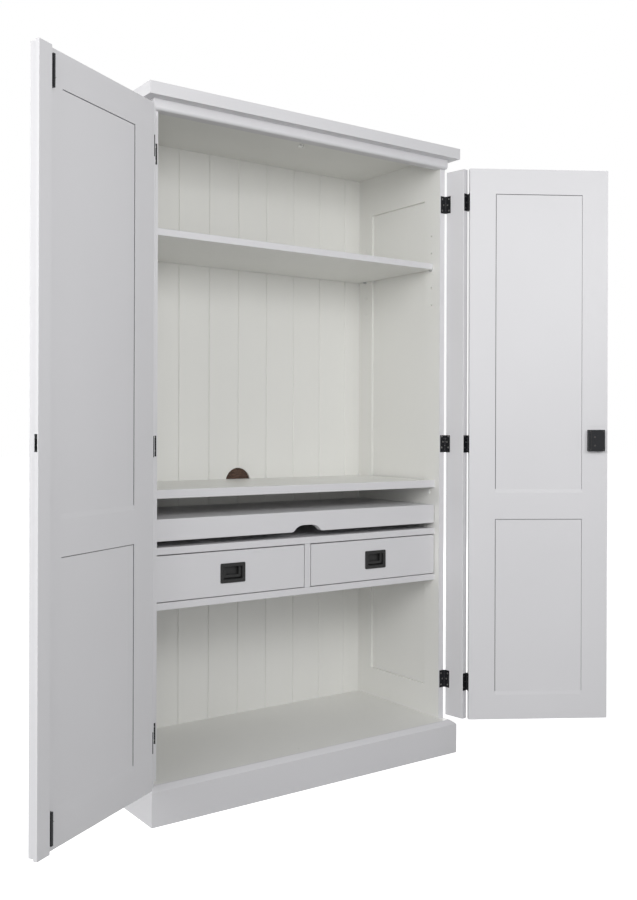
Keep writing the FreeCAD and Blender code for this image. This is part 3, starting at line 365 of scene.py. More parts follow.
def inner_side(tree, limits, turn, at):
    """1 where every limit holds, as axis, side and level from a middle plane, and 0 elsewhere."""
    parts = add(tree, "ShaderNodeSeparateXYZ", {"Vector": mapping(tree, turn=turn, at=at)})
    share = 1.0
    for axis, side, level in limits:
        away = maths(tree, "ABSOLUTE", parts.outputs[axis])
        share = maths(tree, "MULTIPLY", maths(tree, side, away, level), share)
    return share


def grain_scale(grain):
    """Stretch of a pattern that runs along one axis."""
    return tuple(0.06 if axis == grain else 1.0 for axis in "XYZ")


# ---- materials
def finish(name, build):
    """A material by name, made once, from the shader's inputs that build gives."""
    found = bpy.data.materials.get(name)
    if found is not None:
        return found
    material = bpy.data.materials.new(name)
    tree = empty_tree(material)
    shader = add(tree, "ShaderNodeBsdfPrincipled", build(tree))
    add(tree, "ShaderNodeOutputMaterial", {"Surface": shader.outputs["BSDF"]})
    return material


def satin_paint(name, colour, grain, turn=0.0, at=(0.0, 0.0, 0.0), inner=None, where=(),
                roughness=None):
    """White satin paint with brush marks and a trace of the grain below.

    The inner colour lies within the limits that where gives, as axis, side and level, in
    coordinates that are turned about Z and then shifted. It carries painted light: the lighter
    inside white, or the painted shade of the seams.
    """
    settings = bpy.context.scene.armoire_paint
    dull = settings.roughness if roughness is None else roughness
    depth = settings.brush_depth

    def build(tree):
        along, even = mapping(tree, grain_scale(grain), turn), mapping(tree)
        clouds = noise(tree, even, 2.3)
        tones = [shades(tree, clouds, white, (0.3, 0.982), (0.7, 1.012))
                 for white in (colour, inner) if white is not None]
        tone = tones[0] if inner is None else blend(
            tree, inner_side(tree, where, turn, at), *tones)
        brush = noise(tree, along, 420.0, 3.0, 0.6)
        grain_lines = noise(tree, along, 90.0, 4.0, 0.65, 0.4)
        peel = noise(tree, even, 650.0, 1.0)
        grain_bump = bump(tree, grain_lines, depth, 0.5)
        brush_bump = bump(tree, brush, depth * 0.6, 0.5, grain_bump)
        return {
            "Base Color": tone, "Roughness": spread(tree, brush, dull - 0.05, dull + 0.06),
            "Normal": bump(tree, peel, depth * 0.4, 0.4, brush_bump)}

    return finish(name, build)


def two_whites(name, grain, *where, roughness=None):
    """The outside paint, with the lighter inside paint, which is painted light, within the limits.
    """
    paint = bpy.context.scene.armoire_paint
    return satin_paint(
        name, paint.outside, grain, inner=paint.inside, where=where, roughness=roughness)


def black_lacquer(name, black):
    """Black lacquer on iron, rubbed thin in specks."""
    worn = bpy.context.scene.armoire_fittings.worn

    def build(tree):
        even = mapping(tree)
        specks = noise(tree, even, 520.0, 4.0, 0.7)
        return {
            "Base Color": ramp(tree, specks, (0.48, black), (0.66, shade(black, 1.7)), (0.8, worn)),
            "Roughness": spread(tree, specks, 0.5, 0.36), "Specular IOR Level": 0.18,
            "Normal": bump(tree, noise(tree, even, 900.0), 0.00008, 0.5)}

    return finish(name, build)


def plated_steel(name, colour, roughness):
    """Plated steel with fine drawing lines."""

    def build(tree):
        lines = noise(tree, mapping(tree, (1.0, 0.03, 1.0)), 900.0)
        bloom = noise(tree, mapping(tree), 35.0, 3.0)
        return {
            "Base Color": shades(tree, bloom, colour, (0.35, 0.86), (0.7, 1.06)),
            "Metallic": 1.0,
            "Roughness": spread(tree, lines, roughness - 0.08, roughness + 0.1),
            "Normal": bump(tree, lines, 0.00003, 0.5)}

    return finish(name, build)


def metal(name):
    """The lacquer or the plated steel of that name."""
    setting, roughness = METALS[name]
    colour = getattr(bpy.context.scene.armoire_fittings, setting)
    return black_lacquer(name, colour) if roughness is None else plated_steel(
        name, colour, roughness)


def clear_pine(name, grain):
    """Clear-lacquered pine, with growth rings stretched along the board."""
    timber = bpy.context.scene.armoire_timber

    def build(tree):
        along = mapping(tree, grain_scale(grain))
        rings = add(tree, "ShaderNodeTexWave", {
            "Vector": along, "Scale": 38.0, "Distortion": 9.0, "Detail": 2.0,
            "Detail Scale": 1.2}, wave_type="BANDS", bands_direction="Z")
        pores = noise(tree, along, 700.0, 3.0, 0.6)
        return {
            "Base Color": ramp(
                tree, rings.outputs["Fac"], (0.05, timber.pine), (0.6, shade(timber.pine, 0.92)),
                (0.95, timber.pine_dark)),
            "Roughness": spread(tree, pores, 0.42, 0.56),
            "Normal": bump(tree, pores, 0.00006, 0.5)}

    return finish(name, build)


def white_plastic(name):
    """A moulded white screw cap."""

    def build(tree):
        mottle = noise(tree, mapping(tree), 900.0)
        return {
            "Base Color": ramp(tree, mottle, (0.3, (0.88, 0.88, 0.86)), (0.7, (0.92, 0.92, 0.90))),
            "Roughness": 0.22, "Coat Weight": 0.6, "Normal": bump(tree, mottle, 0.00002, 0.4)}

    return finish(name, build)


def brown_felt(name):
    """Brown dust felt with short loose fibres."""
    felt = bpy.context.scene.armoire_timber.felt

    def build(tree):
        fibres = noise(tree, mapping(tree, (0.12, 1.0, 1.0)), 520.0, 4.0, 0.7)
        nap = noise(tree, mapping(tree), 1200.0, 3.0)
        return {
            "Base Color": shades(tree, fibres, felt, (0.38, 0.45), (0.52, 1.0), (0.68, 2.0)),
            "Roughness": 0.95, "Sheen Weight": 0.25, "Normal": bump(tree, nap, 0.0004, 0.7)}

    return finish(name, build)


def wear(names, material):
    """Gives every named node one material."""
    for name in names:
        materials = NODES[name].data.materials
        materials.clear()
        materials.append(material)


# ---- places on the object
def middle(node):
    """The middle of a node's box."""
    low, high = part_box(node)
    return (low + high) / 2


def turn_about(joint, degrees):
    """A turn about a joint's axis."""
    at = Vector(joint["pos_m"])
    spin = Matrix.Rotation(math.radians(degrees), 4, Vector(joint["axis"]))
    return Matrix.Translation(at) @ spin @ Matrix.Translation(-at)


def opened(body):
    """The turn that takes a leaf from shut to where it stands."""
    side = body.split("_")[0]
    strip = JOINTS[side + "_strip_hinge"]
    strip_open = turn_about(strip, -strip["range_deg"][0])
    if body.endswith("strip"):
        return strip_open
    door = JOINTS[side + "_door_hinge"]
    return turn_about(door, -door["range_deg"][0]) @ strip_open


def shut_box(node, body):
    """A node's lowest and highest corners with its leaf shut."""
    back = opened(body).inverted()
    points = [back @ vertex.co for vertex in NODES[node].data.vertices]
    return [Vector([limit(point[axis] for point in points) for axis in range(3)])
            for limit in (min, max)]


def fitting_height(node):
    """Height of one of the like fittings in a node, from its lowest."""
    levels = sorted({round(vertex.co.z, 5) for vertex in NODES[node].data.vertices})
    apart = 0.2
    gap = next(k for k in range(1, len(levels)) if levels[k] - levels[k - 1] > apart)
    return levels[gap - 1] - levels[0]


def hinge_levels(node):
    """Middle heights of the three hinges of a node."""
    low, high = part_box(node)
    half = fitting_height(node) / 2
    return [low.z + half, (low.z + high.z) / 2, high.z - half]


def moved(matrix, spots):
    """Spots carried by a leaf's turn."""
    spin = matrix.to_3x3()
    return [(matrix @ place, spin @ direction) for place, direction in spots]


# ---- pieces
def stand(name, data):
    """A new object in the scene."""
    thing = bpy.data.objects.new(name, data)
    bpy.context.scene.collection.objects.link(thing)
    return thing


def close_shape(name, shape, material):
    """Turns the faces of a shape outwards and makes it a piece with one material."""
    bmesh.ops.recalc_face_normals(shape, faces=shape.faces)
    mesh = bpy.data.meshes.new(name)
    shape.to_mesh(mesh)
    shape.free()
    mesh.materials.append(material)
    return stand(name, mesh)


def skin_rings(shape, rings):
    """Faces from each ring of points to the next, and over the first and the last."""
    count = len(rings[0])
    for below, above in zip(rings, rings[1:]):
        for k in range(count):
            after = (k + 1) % count
            shape.faces.new((below[k], below[after], above[after], above[k]))
    shape.faces.new(rings[0])
    shape.faces.new(rings[-1])


def join_body(piece, body):
    """Gives a finished piece the body it moves with."""
    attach(piece, body)
    return piece


# ---- screws, rivets and beads
def point_tree(title, sizes, shape, aimed=True):
    """A geometry tree that sets a shape on each point, made once, with named sizes.

    An aimed shape faces as its point says, and is turned about that line by chance.
    """
    found = bpy.data.node_groups.get(title)
    if found is not None:
        return found
    tree = bpy.data.node_groups.new(title, "GeometryNodeTree")

    def socket(label, kind, side="INPUT"):
        return tree.interface.new_socket(label, in_out=side, socket_type="NodeSocket" + kind)

    socket("Geometry", "Geometry")
    for label, value in sizes.items():
        socket(label, "Float").default_value = value
    if aimed:
        socket("Seed", "Int").default_value = 7
    socket("Metal", "Material")
    socket("Geometry", "Geometry", "OUTPUT")
    given = add(tree, "NodeGroupInput").outputs
    inputs = {"Points": given["Geometry"], "Instance": shape(tree, given).outputs[0]}
    if aimed:
        inputs["Rotation"] = aim_by_chance(tree, given["Seed"])
    place = add(tree, "GeometryNodeInstanceOnPoints", inputs)
    solid = add(tree, "GeometryNodeRealizeInstances", {"Geometry": place.outputs["Instances"]})
    coat = add(tree, "GeometryNodeSetMaterial", {
        "Geometry": solid.outputs["Geometry"], "Material": given["Metal"]})
    add(tree, "NodeGroupOutput", {"Geometry": coat.outputs["Geometry"]})
    return tree


def aim_by_chance(tree, seed):
    """The turn of each point: along its facing, and about that line by chance."""
    facing = add(
        tree, "GeometryNodeInputNamedAttribute", {"Name": "facing"}, data_type="FLOAT_VECTOR")
    aim = add(tree, "FunctionNodeAlignRotationToVector", {
        "Vector": facing.outputs["Attribute"]}, axis="Z")
    chance = add(tree, "FunctionNodeRandomValue", {
        CHANCE_LOW: 0.0, CHANCE_HIGH: math.pi, "Seed": seed}, data_type="FLOAT")
    spin = add(tree, "ShaderNodeCombineXYZ", {"Z": chance.outputs[CHANCE_RESULT]})
    turn = add(tree, "FunctionNodeEulerToRotation", {"Euler": spin.outputs["Vector"]})
    return add(tree, "FunctionNodeRotateRotation", {
        "Rotation": aim.outputs["Rotation"], "Rotate By": turn.outputs["Rotation"]},
        rotation_space="LOCAL").outputs["Rotation"]


def screw_head(tree, given):
    """A countersunk head with a cross recess."""
    radius, depth, slot_width, slot_depth = [
        maths(tree, "MULTIPLY", given[label], CUT_SCALE)
        for label in ("Head radius", "Head depth", "Slot width", "Slot depth")]
    cone = add(tree, "GeometryNodeMeshCone", {
        "Vertices": 20, "Radius Top": radius, "Depth": depth,
        "Radius Bottom": maths(tree, "MULTIPLY", radius, HEAD_FOOT)}, fill_type="NGON")
    drop = add(tree, "ShaderNodeCombineXYZ", {"Z": maths(tree, "MULTIPLY", depth, -HEAD_SUNK)})
    sunk = add(tree, "GeometryNodeTransform", {
        "Geometry": cone.outputs["Mesh"], "Translation": drop.outputs["Vector"]})
    cut = add(tree, "GeometryNodeMeshBoolean", {
        "Mesh 1": sunk.outputs["Geometry"]}, operation="DIFFERENCE")
    for long_side, short_side in ("XY", "YX"):
        size = add(tree, "ShaderNodeCombineXYZ", {
            long_side: maths(tree, "MULTIPLY", radius, SLOT_LENGTH), short_side: slot_width,
            "Z": maths(tree, "MULTIPLY", slot_depth, 2.0)})
        bar = add(tree, "GeometryNodeMeshCube", {"Size": size.outputs["Vector"]})
        tree.links.new(bar.outputs["Mesh"], cut.inputs["Mesh 2"])
    return add(tree, "GeometryNodeTransform", {
        "Geometry": cut.outputs["Mesh"], "Scale": (1 / CUT_SCALE,) * 3})


def rivet_head(tree, given):
    """A low domed head."""
    dome = 0.36
    ball = add(tree, "GeometryNodeMeshUVSphere", {
        "Segments": 20, "Rings": 12, "Radius": given["Head radius"]})
    low = add(tree, "GeometryNodeTransform", {
        "Geometry": ball.outputs["Mesh"], "Scale": (1.0, 1.0, dome)})
    return add(tree, "GeometryNodeSetShadeSmooth", {"Geometry": low.outputs["Geometry"]})


def rim_bead(tree, given):
    """A round bead that follows a rounded rectangle."""
    path = add(tree, "GeometryNodeCurvePrimitiveQuadrilateral", {
        "Width": maths(tree, "MULTIPLY", given["Half width"], 2.0),
        "Height": maths(tree, "MULTIPLY", given["Half height"], 2.0)})
    bend = add(tree, "GeometryNodeFilletCurve", {
        "Curve": path.outputs["Curve"], "Radius": given["Corner"], "Count": 6}, mode="POLY")
    ring = add(tree, "GeometryNodeCurvePrimitiveCircle", {
        "Resolution": 12, "Radius": given["Bead radius"]})
    tube = add(tree, "GeometryNodeCurveToMesh", {
        "Curve": bend.outputs["Curve"], "Profile Curve": ring.outputs["Curve"]})
    return add(tree, "GeometryNodeTransform", {
        "Geometry": tube.outputs["Mesh"], "Rotation": (math.pi / 2, 0.0, 0.0)})


def set_on_spots(name, spots, tree, values):
    """Runs a tree over (place, facing) spots and keeps the result as a plain object."""
    points = bpy.data.meshes.new(name + "_points")
    points.from_pydata([tuple(place) for place, _ in spots], [], [])
    facing = points.attributes.new("facing", "FLOAT_VECTOR", "POINT")
    for k, (_, direction) in enumerate(spots):
        facing.data[k].vector = direction
    carrier = stand(name + "_points", points)
    modifier = carrier.modifiers.new("Tree", "NODES")
    modifier.node_group = tree
    for item in tree.interface.items_tree:
        if item.in_out == "INPUT" and item.name in values:
            modifier[item.identifier] = values[item.name]
    graph = bpy.context.evaluated_depsgraph_get()
    plain = bpy.data.meshes.new_from_object(carrier.evaluated_get(graph), depsgraph=graph)
    bpy.data.objects.remove(carrier)
    plain.name = name
    while plain.materials[0] is None:
        plain.materials.pop(index=0)
    for face in plain.polygons:
        face.material_index = 0
    return stand(name, plain)


def fit_screws(name, body, spots, radius, surface):
    """Screw heads at (place, facing) spots, as one piece that rides on a body."""
    tree = point_tree("Countersunk screws", {
        "Head radius": 0.0026, "Head depth": 0.0012, "Slot width": 0.0007,
        "Slot depth": 0.0007}, screw_head)
    piece = set_on_spots(name, spots, tree, {
        "Head radius": radius, "Head depth": radius * HEAD_DEPTH,
        "Slot width": radius * SLOT_WIDTH, "Slot depth": radius * SLOT_DEPTH,
        "Seed": bpy.context.scene.armoire_fittings.seed, "Metal": surface})
    return join_body(piece, body)


def corner_spots(low, high, inset, level, facing):
    """A spot in from each of the four corners of an upright plate."""
    return [
        (Vector((x, level, z)), facing)
        for x in (low.x + inset, high.x - inset) for z in (low.z + inset, high.z - inset)]


def leaf_spots(pin, along, facing, levels):
    """Three staggered screws on each hinge leaf that reaches from a pin along a direction."""
    settings = bpy.context.scene.armoire_fittings
    spots = []
    for level in levels:
        for step, share in zip((-1, 0, 1), SCREW_REACH):
            reach = settings.leaf_start + settings.leaf_width * share
            place = Vector((pin.x, pin.y, level + step * settings.screw_rise))
            spots.append((place + along * reach - facing * settings.leaf_face, facing))
    return spots


# ---- operators
class ARMOIRE_OT_paint_carcass(bpy.types.Operator):
    """Paint the carcass, its shelves and its boarded back"""

    bl_idname = "armoire.paint_carcass"
    bl_label = "Paint the carcass"

    def execute(self, context):
        paint = context.scene.armoire_paint
        rubbed = paint.shelf_roughness
        over = paint.inside_over
        # Inner faces, the ceiling, the shelves' tops and the back take the inside white, which is
        # painted light for the interior.
        wear(both("side_frame"), two_whites(
            "paint_side_frame", "Z", ("X", "LESS_THAN", middle("right_side_frame").x),
            ("Y", "GREATER_THAN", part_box("right_side_frame")[0].y + over)))
        wear(both("side_panels"), two_whites(
            "paint_side_panels", "Z", ("X", "LESS_THAN", middle("right_side_panels").x)))
        wear(("top_board",), two_whites(
            "paint_top_board", "X", ("Z", "LESS_THAN", middle("top_board").z), roughness=rubbed))
        for shelf in SHELVES:
            wear((shelf,), two_whites(
                "paint_" + shelf, "X", ("Y", "GREATER_THAN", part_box(shelf)[0].y + over),
                roughness=rubbed))
        wear(("drawer_divider",), satin_paint("paint_upright", paint.outside, "Z"))
        wear(CARCASS_BOARDS_LEVEL, satin_paint("paint_level", paint.outside, "X"))
        wear(CARCASS_BOARDS_DEEP, satin_paint("paint_deep", paint.outside, "Y"))
        wear(("back_boards",), satin_paint("inside_upright", paint.inside, "Z"))
        wear(("bottom_board",), satin_paint("inside_level", paint.inside, "X", roughness=rubbed))
        wear(("cover_caps",), white_plastic("cap_plastic"))
        return {"FINISHED"}


class ARMOIRE_OT_paint_leaves(bpy.types.Operator):
    """Paint the strip leaves, the wide leaves and the meeting strip"""

    bl_idname = "armoire.paint_leaves"
    bl_label = "Paint the doors"

    def execute(self, context):
        paint = context.scene.armoire_paint
        wear(LEAF_UPRIGHT, satin_paint("leaf_upright", paint.outside, "Z"))
        for body in WIDE_LEAVES:
            back = opened(body).inverted()
            turn = back.to_euler().z
            low, high = shut_box(body + "_stiles", body)
            half = (high - low) / 2
            shift = back.translation - (low + high) / 2
            at = (shift.x, shift.y, 0.0)
            # Painted shade: the stile walls below the frame's face and the panel edges below the
            # field's face take the seam grey, for the shade in the grooves round each panel over
            # the grey of the open joints.
            joint = (("X", "LESS_THAN", half.x - paint.stile_width + SEAM_SHADE_SPARE),
                     ("Y", "LESS_THAN", half.y - paint.seam_shade_depth))
            low, high = shut_box(body + "_panels", body)
            under = (("Y", "LESS_THAN", (high.y - low.y) / 2 - SEAM_SHADE_SPARE),)
            for part, grain, where in (
                    ("_stiles", "Z", joint), ("_panels", "Z", under), ("_rails", "X", ())):
                wear((body + part,), satin_paint(
                    "paint_" + body + part, paint.outside, grain, turn, at,
                    inner=paint.seam if where else None, where=where))
        return {"FINISHED"}


class ARMOIRE_OT_finish_drawers(bpy.types.Operator):
    """Paint the drawer fronts and the tray, and lacquer the drawer boxes"""

    bl_idname = "armoire.finish_drawers"
    bl_label = "Finish the drawers and tray"

    def execute(self, context):
        outside = context.scene.armoire_paint.outside
        wear(DRAWER_AND_TRAY_FRONTS, satin_paint("paint_level", outside, "X"))
        for part, name, grain in (
                ("sides", "pine_deep", "Y"), ("back", "pine_wide", "X"),
                ("bottom", "pine_bottom", "X")):
            wear(both("drawer_" + part), clear_pine(name, grain))
        return {"FINISHED"}


class ARMOIRE_OT_finish_metal(bpy.types.Operator):
    """Give the hinges, pulls, lock, bolts and slides their metals"""

    bl_idname = "armoire.finish_metal"
    bl_label = "Finish the metalwork"

    def execute(self, context):
        for name, nodes in FITTINGS.items():
            wear(nodes, metal(name))
        return {"FINISHED"}


class ARMOIRE_OT_fit_hinge_screws(bpy.types.Operator):
    """Fit three screws to each hinge leaf"""

    bl_idname = "armoire.fit_hinge_screws"
    bl_label = "Fit the hinge screws"

    def execute(self, context):
        radius = context.scene.armoire_fittings.screw_radius
        levels = hinge_levels("carcass_hinge_leaves")
        on_carcass = []

        def screw(body, spots):
            fit_screws(body + "_hinge_screws", body, spots, radius, metal("bright_steel"))

        for side, inward in (("left", RIGHT), ("right", -RIGHT)):
            strip_turn = opened(side + "_strip")
            near = Vector(JOINTS[side + "_strip_hinge"]["pos_m"])
            far = strip_turn.inverted() @ Vector(JOINTS[side + "_door_hinge"]["pos_m"])
            on_carcass += leaf_spots(near, inward, FRONT, levels)
            on_strip = leaf_spots(near, inward, -FRONT, levels)
            on_strip += leaf_spots(far, -FRONT, inward, levels)
            on_door = leaf_spots(far, -FRONT, -inward, levels)
            screw(side + "_strip", moved(strip_turn, on_strip))
            screw(side + "_door", moved(opened(side + "_door"), on_door))
        screw("carcass", on_carcass)
        return {"FINISHED"}


class ARMOIRE_OT_trim_pulls(bpy.types.Operator):
    """Add the bead and the four screws of each drawer pull"""

    bl_idname = "armoire.trim_pulls"
    bl_label = "Trim the drawer pulls"

    def execute(self, context):
        fittings = context.scene.armoire_fittings
        lacquer = metal("pull_lacquer")
        half_wide, half_high = fittings.cup_half
        corner = half_high * 0.2
        tree = point_tree("Rim bead", {
            "Half width": 0.028, "Half height": 0.017, "Corner": 0.003,
            "Bead radius": 0.0009}, rim_bead, aimed=False)
        for side in ("left", "right"):
            low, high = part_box(side + "_pull_plate")
            centre = Vector(((low.x + high.x) / 2, low.y, (low.z + high.z) / 2))
            bead = set_on_spots(side + "_pull_bead", [(centre, FRONT)], tree, {
                "Half width": half_wide, "Half height": half_high, "Corner": corner,
                "Bead radius": fittings.bead_radius, "Metal": lacquer})
            join_body(bead, side + "_drawer")
            inset = ((high.z - low.z) / 2 - half_high) / 2
            fit_screws(side + "_pull_screws", side + "_drawer",
                       corner_spots(low, high, inset, low.y, FRONT),
                       fittings.small_screw_radius, lacquer)
        return {"FINISHED"}


class ARMOIRE_OT_trim_lock(bpy.types.Operator):
    """Cover the lock case, with a folded rib, two rivets and four screws"""

    bl_idname = "armoire.trim_lock"
    bl_label = "Trim the lock"

    def execute(self, context):
        fittings = context.scene.armoire_fittings
        turn = opened("right_door")
        low, high = shut_box("lock_case", "right_door")
        wide, tall = high.x - low.x, high.z - low.z
        inset, thick = fittings.cover_inset, fittings.cover_thick
        rib_end = inset * 3
        face = high.y
        top = face + thick
        rubbed = plated_steel("rubbed_steel", shade(fittings.worn, 0.4), 0.45)
        cover = eased_plate(
            "lock_cover", (low.x + inset, high.x - inset), (low.z + inset, high.z - inset),
            face, thick, turn, metal("black_lacquer"))
        join_body(cover, "right_door")
        rib = eased_plate(
            "lock_rib", [low.x + wide * share for share in RIB_SHARES],
            (low.z + rib_end, high.z - rib_end), top, thick, turn, metal("pull_lacquer"))
        join_body(rib, "right_door")
        rivets = [(Vector((low.x + wide * RIVET_ACROSS, top, low.z + tall * share)), REAR)
                  for share in RIVETS_UP]
        tree = point_tree("Domed rivets", {"Head radius": 0.0022}, rivet_head)
        heads = set_on_spots("lock_rivets", moved(turn, rivets), tree, {
            "Head radius": fittings.rivet_radius, "Seed": fittings.seed, "Metal": rubbed})
        join_body(heads, "right_door")
        radius = fittings.small_screw_radius
        screw_inset = inset + radius * 1.6
        corners = corner_spots(low, high, screw_inset, top, REAR)
        fit_screws("lock_screws", "right_door", moved(turn, corners), radius, rubbed)
        return {"FINISHED"}


def eased_plate(name, wide, tall, foot, thick, turn, material):
    """A thin plate with rounded corners and an eased rim, laid on a leaf's inner side."""
    corner = min(wide[1] - wide[0], tall[1] - tall[0]) * 0.12
    ease = thick * 0.45
    steps = 6
    outline = []
    for k, (x, z) in enumerate((
            (wide[1], tall[1]), (wide[0], tall[1]), (wide[0], tall[0]), (wide[1], tall[0]))):
        centre_x = x - corner if x == wide[1] else x + corner
        centre_z = z - corner if z == tall[1] else z + corner
        for step in range(steps + 1):
            angle = math.pi / 2 * (k + step / steps)
            outline.append((centre_x, centre_z, math.cos(angle), math.sin(angle)))
    shape = bmesh.new()
    rims = ((foot, corner), (foot + thick - ease, corner), (foot + thick, corner - ease))
    skin_rings(shape, [
        [shape.verts.new(turn @ Vector((x + radius * across, level, z + radius * rise)))
         for x, z, across, rise in outline]
        for level, radius in rims])
    return close_shape(name, shape, material)


class ARMOIRE_OT_fit_small_screws(bpy.types.Operator):
    """Screw on the bolt cases, the strike plate and the tray slides"""

    bl_idname = "armoire.fit_small_screws"
    bl_label = "Fit the small screws"

    def execute(self, context):
        fittings = context.scene.armoire_fittings
        lacquer = metal("black_lacquer")
        radius = fittings.small_screw_radius * 0.8
        turn = opened("left_door")
        inset = fittings.small_screw_radius * 2.2
        low, high = shut_box("door_bolt_cases", "left_door")
        middle_x = (low.x + high.x) / 2
        case_high = fitting_height("door_bolt_cases")
        spots = [
            (Vector((middle_x, high.y, z)), REAR)
            for foot in (low.z, high.z - case_high)
            for z in (foot + inset, foot + case_high - inset)]
        low, high = shut_box("strike_plate", "left_door")
        spots += [
            (Vector((high.x, (low.y + high.y) / 2, z)), RIGHT)
            for z in (low.z + inset, high.z - inset)]
        # Painted shade: a black cup behind the strike's slot darkens it.
        shade_cup = slot_shade_cup(low, high, fittings, turn, lacquer)
        join_body(shade_cup, "left_door")
        fit_screws("left_door_small_screws", "left_door", moved(turn, spots), radius, lacquer)
        low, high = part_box("tray_slides_fixed")
        spots = []
        for x, inward in ((low.x, RIGHT), (high.x, -RIGHT)):
            for share in SLIDE_SCREWS:
                place = Vector((x, low.y + (high.y - low.y) * share, (low.z + high.z) / 2))
                spots.append((place + inward * fittings.slide_skin, inward))
        fit_screws("slide_screws", "carcass", spots, fittings.screw_radius, metal("zinc_plate"))
        return {"FINISHED"}


def slot_shade_cup(low, high, fittings, turn, material):
    """A thin black cup behind the strike plate's slot, open towards the lock: painted shade that
    darkens the slot.
    """
    skin = fittings.shade_cup_skin
    half_wide, half_tall = fittings.shade_cup_half
    middle_y = (low.y + high.y) / 2 - fittings.strike_shift[0]
    middle_z = (low.z + high.z) / 2 - fittings.strike_shift[1]
    mouth, foot = low.x, low.x - fittings.shade_cup_deep
    shape = bmesh.new()
    skin_rings(shape, [
        [shape.verts.new(turn @ Vector((
            x, middle_y + y * (half_wide - shrink), middle_z + z * (half_tall - shrink))))
         for y, z in ((-1, -1), (1, -1), (1, 1), (-1, 1))]
        for x, shrink in ((foot, 0.0), (mouth, 0.0), (mouth, skin), (foot + skin, skin))])
    return close_shape("strike_liner", shape, material)


class ARMOIRE_OT_hang_felt(bpy.types.Operator):
    """Hang the felt flap in the cable hole"""

    bl_idname = "armoire.hang_felt"
    bl_label = "Hang the felt"

    def execute(self, context):
        timber = context.scene.armoire_timber
        desk_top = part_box("desk_shelf")[1].z
        felt = felt_flap(timber, desk_top, desk_top - timber.felt_drop, middle("back_boards").y)
        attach(felt, "carcass")
        return {"FINISHED"}


def felt_flap(timber, foot, centre, back):
    """A half-round felt, a little wavy, that stands on the desk in the hole."""
    radius = timber.felt_radius
    spare = 0.0001
    half = math.sqrt(radius ** 2 - (foot - centre) ** 2) - spare
    columns, rows = 48, 16
    wave, radians_per_metre = timber.felt_thick * 0.35, 210.0
    shape = bmesh.new()
    sheets = []
    for depth in (back, back + timber.felt_thick):
        sheet = []
        for column in range(columns + 1):
            x = half * (2 * column / columns - 1)
            top = centre + math.sqrt(max(radius ** 2 - x ** 2, 0.0))
            sway = wave * math.sin(x * radians_per_metre)
            sheet.append([
                shape.verts.new((x, depth + sway * row / rows, foot + (top - foot) * row / rows))
                for row in range(rows + 1)])
        sheets.append(sheet)
    front, rear = sheets
    for column in range(columns):
        for row in range(rows):
            for sheet in sheets:
                shape.faces.new((
                    sheet[column][row], sheet[column + 1][row],
                    sheet[column + 1][row + 1], sheet[column][row + 1]))
        for row in (0, rows):
            shape.faces.new((front[column][row], front[column + 1][row],
                             rear[column + 1][row], rear[column][row]))
    for column in (0, columns):
        for row in range(rows):
            shape.faces.new((front[column][row], front[column][row + 1],
                             rear[column][row + 1], rear[column][row]))
    return close_shape("cable_felt", shape, brown_felt("brown_felt"))


class ARMOIRE_OT_set_stage(bpy.types.Operator):
    """Set up the floor, the background, the lamps and the camera"""

    bl_idname = "armoire.set_stage"
    bl_label = "Set up the studio"

    def execute(self, context):
        studio = context.scene.armoire_studio
        context.scene.view_settings.view_transform = "Standard"
        light_world(context.scene, studio)
        lay_floor()
        for name, place, target, size, power in LAMPS:
            hang_lamp(name, Vector(place), Vector(target), size, getattr(studio, power))
        stand_camera(context.scene, studio)
        return {"FINISHED"}


def part_rays(tree, output, light, seen):
    """Ends a tree: what the camera and the mirrored rays see, and what lights the rest."""
    path = add(tree, "ShaderNodeLightPath").outputs
    mirrored = maths(tree, "MAXIMUM", path["Is Glossy Ray"], path["Is Transmission Ray"])
    mix = add(tree, "ShaderNodeMixShader", {
        "Fac": maths(tree, "MAXIMUM", path["Is Camera Ray"], mirrored),
        1: light.outputs[0], 2: seen.outputs[0]})
    add(tree, output, {"Surface": mix.outputs["Shader"]})


def light_world(scene, studio):
    """White to the camera and in reflections, a dim cool white as light."""
    scene.world = bpy.data.worlds.new("studio_world")
    tree = empty_tree(scene.world)
    light = add(tree, "ShaderNodeBackground", {
        "Color": (0.97, 0.985, 1.0, 1.0), "Strength": studio.ambient})
    seen = add(tree, "ShaderNodeBackground", {"Color": WHITE, "Strength": 1.0})
    part_rays(tree, "ShaderNodeOutputWorld", light, seen)


def lay_floor():
    """A wide pale floor that looks white to the camera but keeps the shadow."""
    mesh = bpy.data.meshes.new("studio_floor")
    half = 30.0
    corners = [(-half, -half, 0.0), (half, -half, 0.0), (half, half, 0.0), (-half, half, 0.0)]
    mesh.from_pydata(corners, [], [(0, 1, 2, 3)])
    material = bpy.data.materials.new("studio_floor")
    tree = empty_tree(material)
    light = add(tree, "ShaderNodeBsdfDiffuse", {"Color": (0.3, 0.3, 0.3, 1.0)})
    matt = add(tree, "ShaderNodeBsdfDiffuse", {"Color": (0.8, 0.8, 0.8, 1.0)})
    glow = add(tree, "ShaderNodeEmission", {"Color": WHITE, "Strength": 0.85})
    seen = add(tree, "ShaderNodeAddShader", {0: matt.outputs[0], 1: glow.outputs[0]})
    part_rays(tree, "ShaderNodeOutputMaterial", light, seen)
    mesh.materials.append(material)
    floor = stand("studio_floor", mesh)


def hang_lamp(name, place, target, size, power):
    """A square soft lamp that faces a point."""
    data = bpy.data.lights.new(name, "AREA")
    data.shape = "SQUARE"
    data.size = size
    data.energy = power
    lamp = stand(name, data)
    lamp.location = place
    lamp.visible_camera = False
    lamp.rotation_euler = (target - place).to_track_quat("-Z", "Y").to_euler()


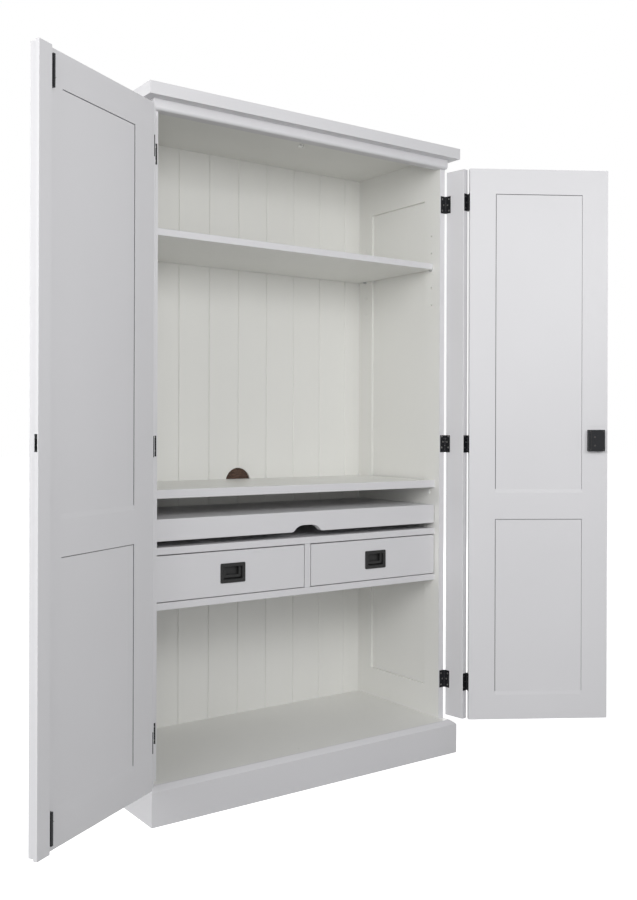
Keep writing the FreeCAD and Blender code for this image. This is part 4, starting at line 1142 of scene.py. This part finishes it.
def stand_camera(scene, studio):
    """A level camera, turned and rolled as the settings say."""
    data = bpy.data.cameras.new("camera")
    data.lens = studio.focal
    data.shift_y = studio.shift
    data.clip_start = 0.05
    data.clip_end = 200.0
    forward = Vector((math.sin(studio.yaw), math.cos(studio.yaw), 0.0))
    level = Vector((math.cos(studio.yaw), -math.sin(studio.yaw), 0.0))
    up = Vector((0.0, 0.0, 1.0))
    right = level * math.cos(studio.roll) + up * math.sin(studio.roll)
    top = up * math.cos(studio.roll) - level * math.sin(studio.roll)
    axes = Matrix((right, top, -forward)).transposed()
    camera = stand("camera", data)
    camera.matrix_world = Matrix.Translation(studio.stand) @ axes.to_4x4()
    scene.camera = camera


# ---- panel and registration
OPERATORS = (
    ARMOIRE_OT_paint_carcass,
    ARMOIRE_OT_paint_leaves,
    ARMOIRE_OT_finish_drawers,
    ARMOIRE_OT_finish_metal,
    ARMOIRE_OT_fit_hinge_screws,
    ARMOIRE_OT_trim_pulls,
    ARMOIRE_OT_trim_lock,
    ARMOIRE_OT_fit_small_screws,
    ARMOIRE_OT_hang_felt,
    ARMOIRE_OT_set_stage,
)
SETTINGS = {
    "armoire_paint": PaintSettings,
    "armoire_fittings": FittingSettings,
    "armoire_timber": TimberSettings,
    "armoire_studio": StudioSettings,
}


class ARMOIRE_PT_panel(bpy.types.Panel):
    """Lists the settings and the steps that dress the armoire."""

    bl_idname = "ARMOIRE_PT_panel"
    bl_label = "Computer armoire"
    bl_space_type = "VIEW_3D"
    bl_region_type = "UI"
    bl_category = "Armoire"

    def draw(self, context):
        for title, kind in SETTINGS.items():
            box = self.layout.box()
            box.label(text=kind.__doc__)
            group = getattr(context.scene, title)
            for name in kind.__annotations__:
                box.prop(group, name)
        for operator in OPERATORS:
            self.layout.operator(operator.bl_idname)


def register():
    for kind in (*SETTINGS.values(), *OPERATORS, ARMOIRE_PT_panel):
        bpy.utils.register_class(kind)
    for title, kind in SETTINGS.items():
        setattr(bpy.types.Scene, title, PointerProperty(type=kind))


def unregister():
    for title in SETTINGS:
        delattr(bpy.types.Scene, title)
    for kind in (ARMOIRE_PT_panel, *reversed(OPERATORS), *reversed(tuple(SETTINGS.values()))):
        bpy.utils.unregister_class(kind)


def main():
    register()
    for operator in OPERATORS:
        group, name = operator.bl_idname.split(".")
        getattr(getattr(bpy.ops, group), name)()


if __name__ == "__main__":
    main()
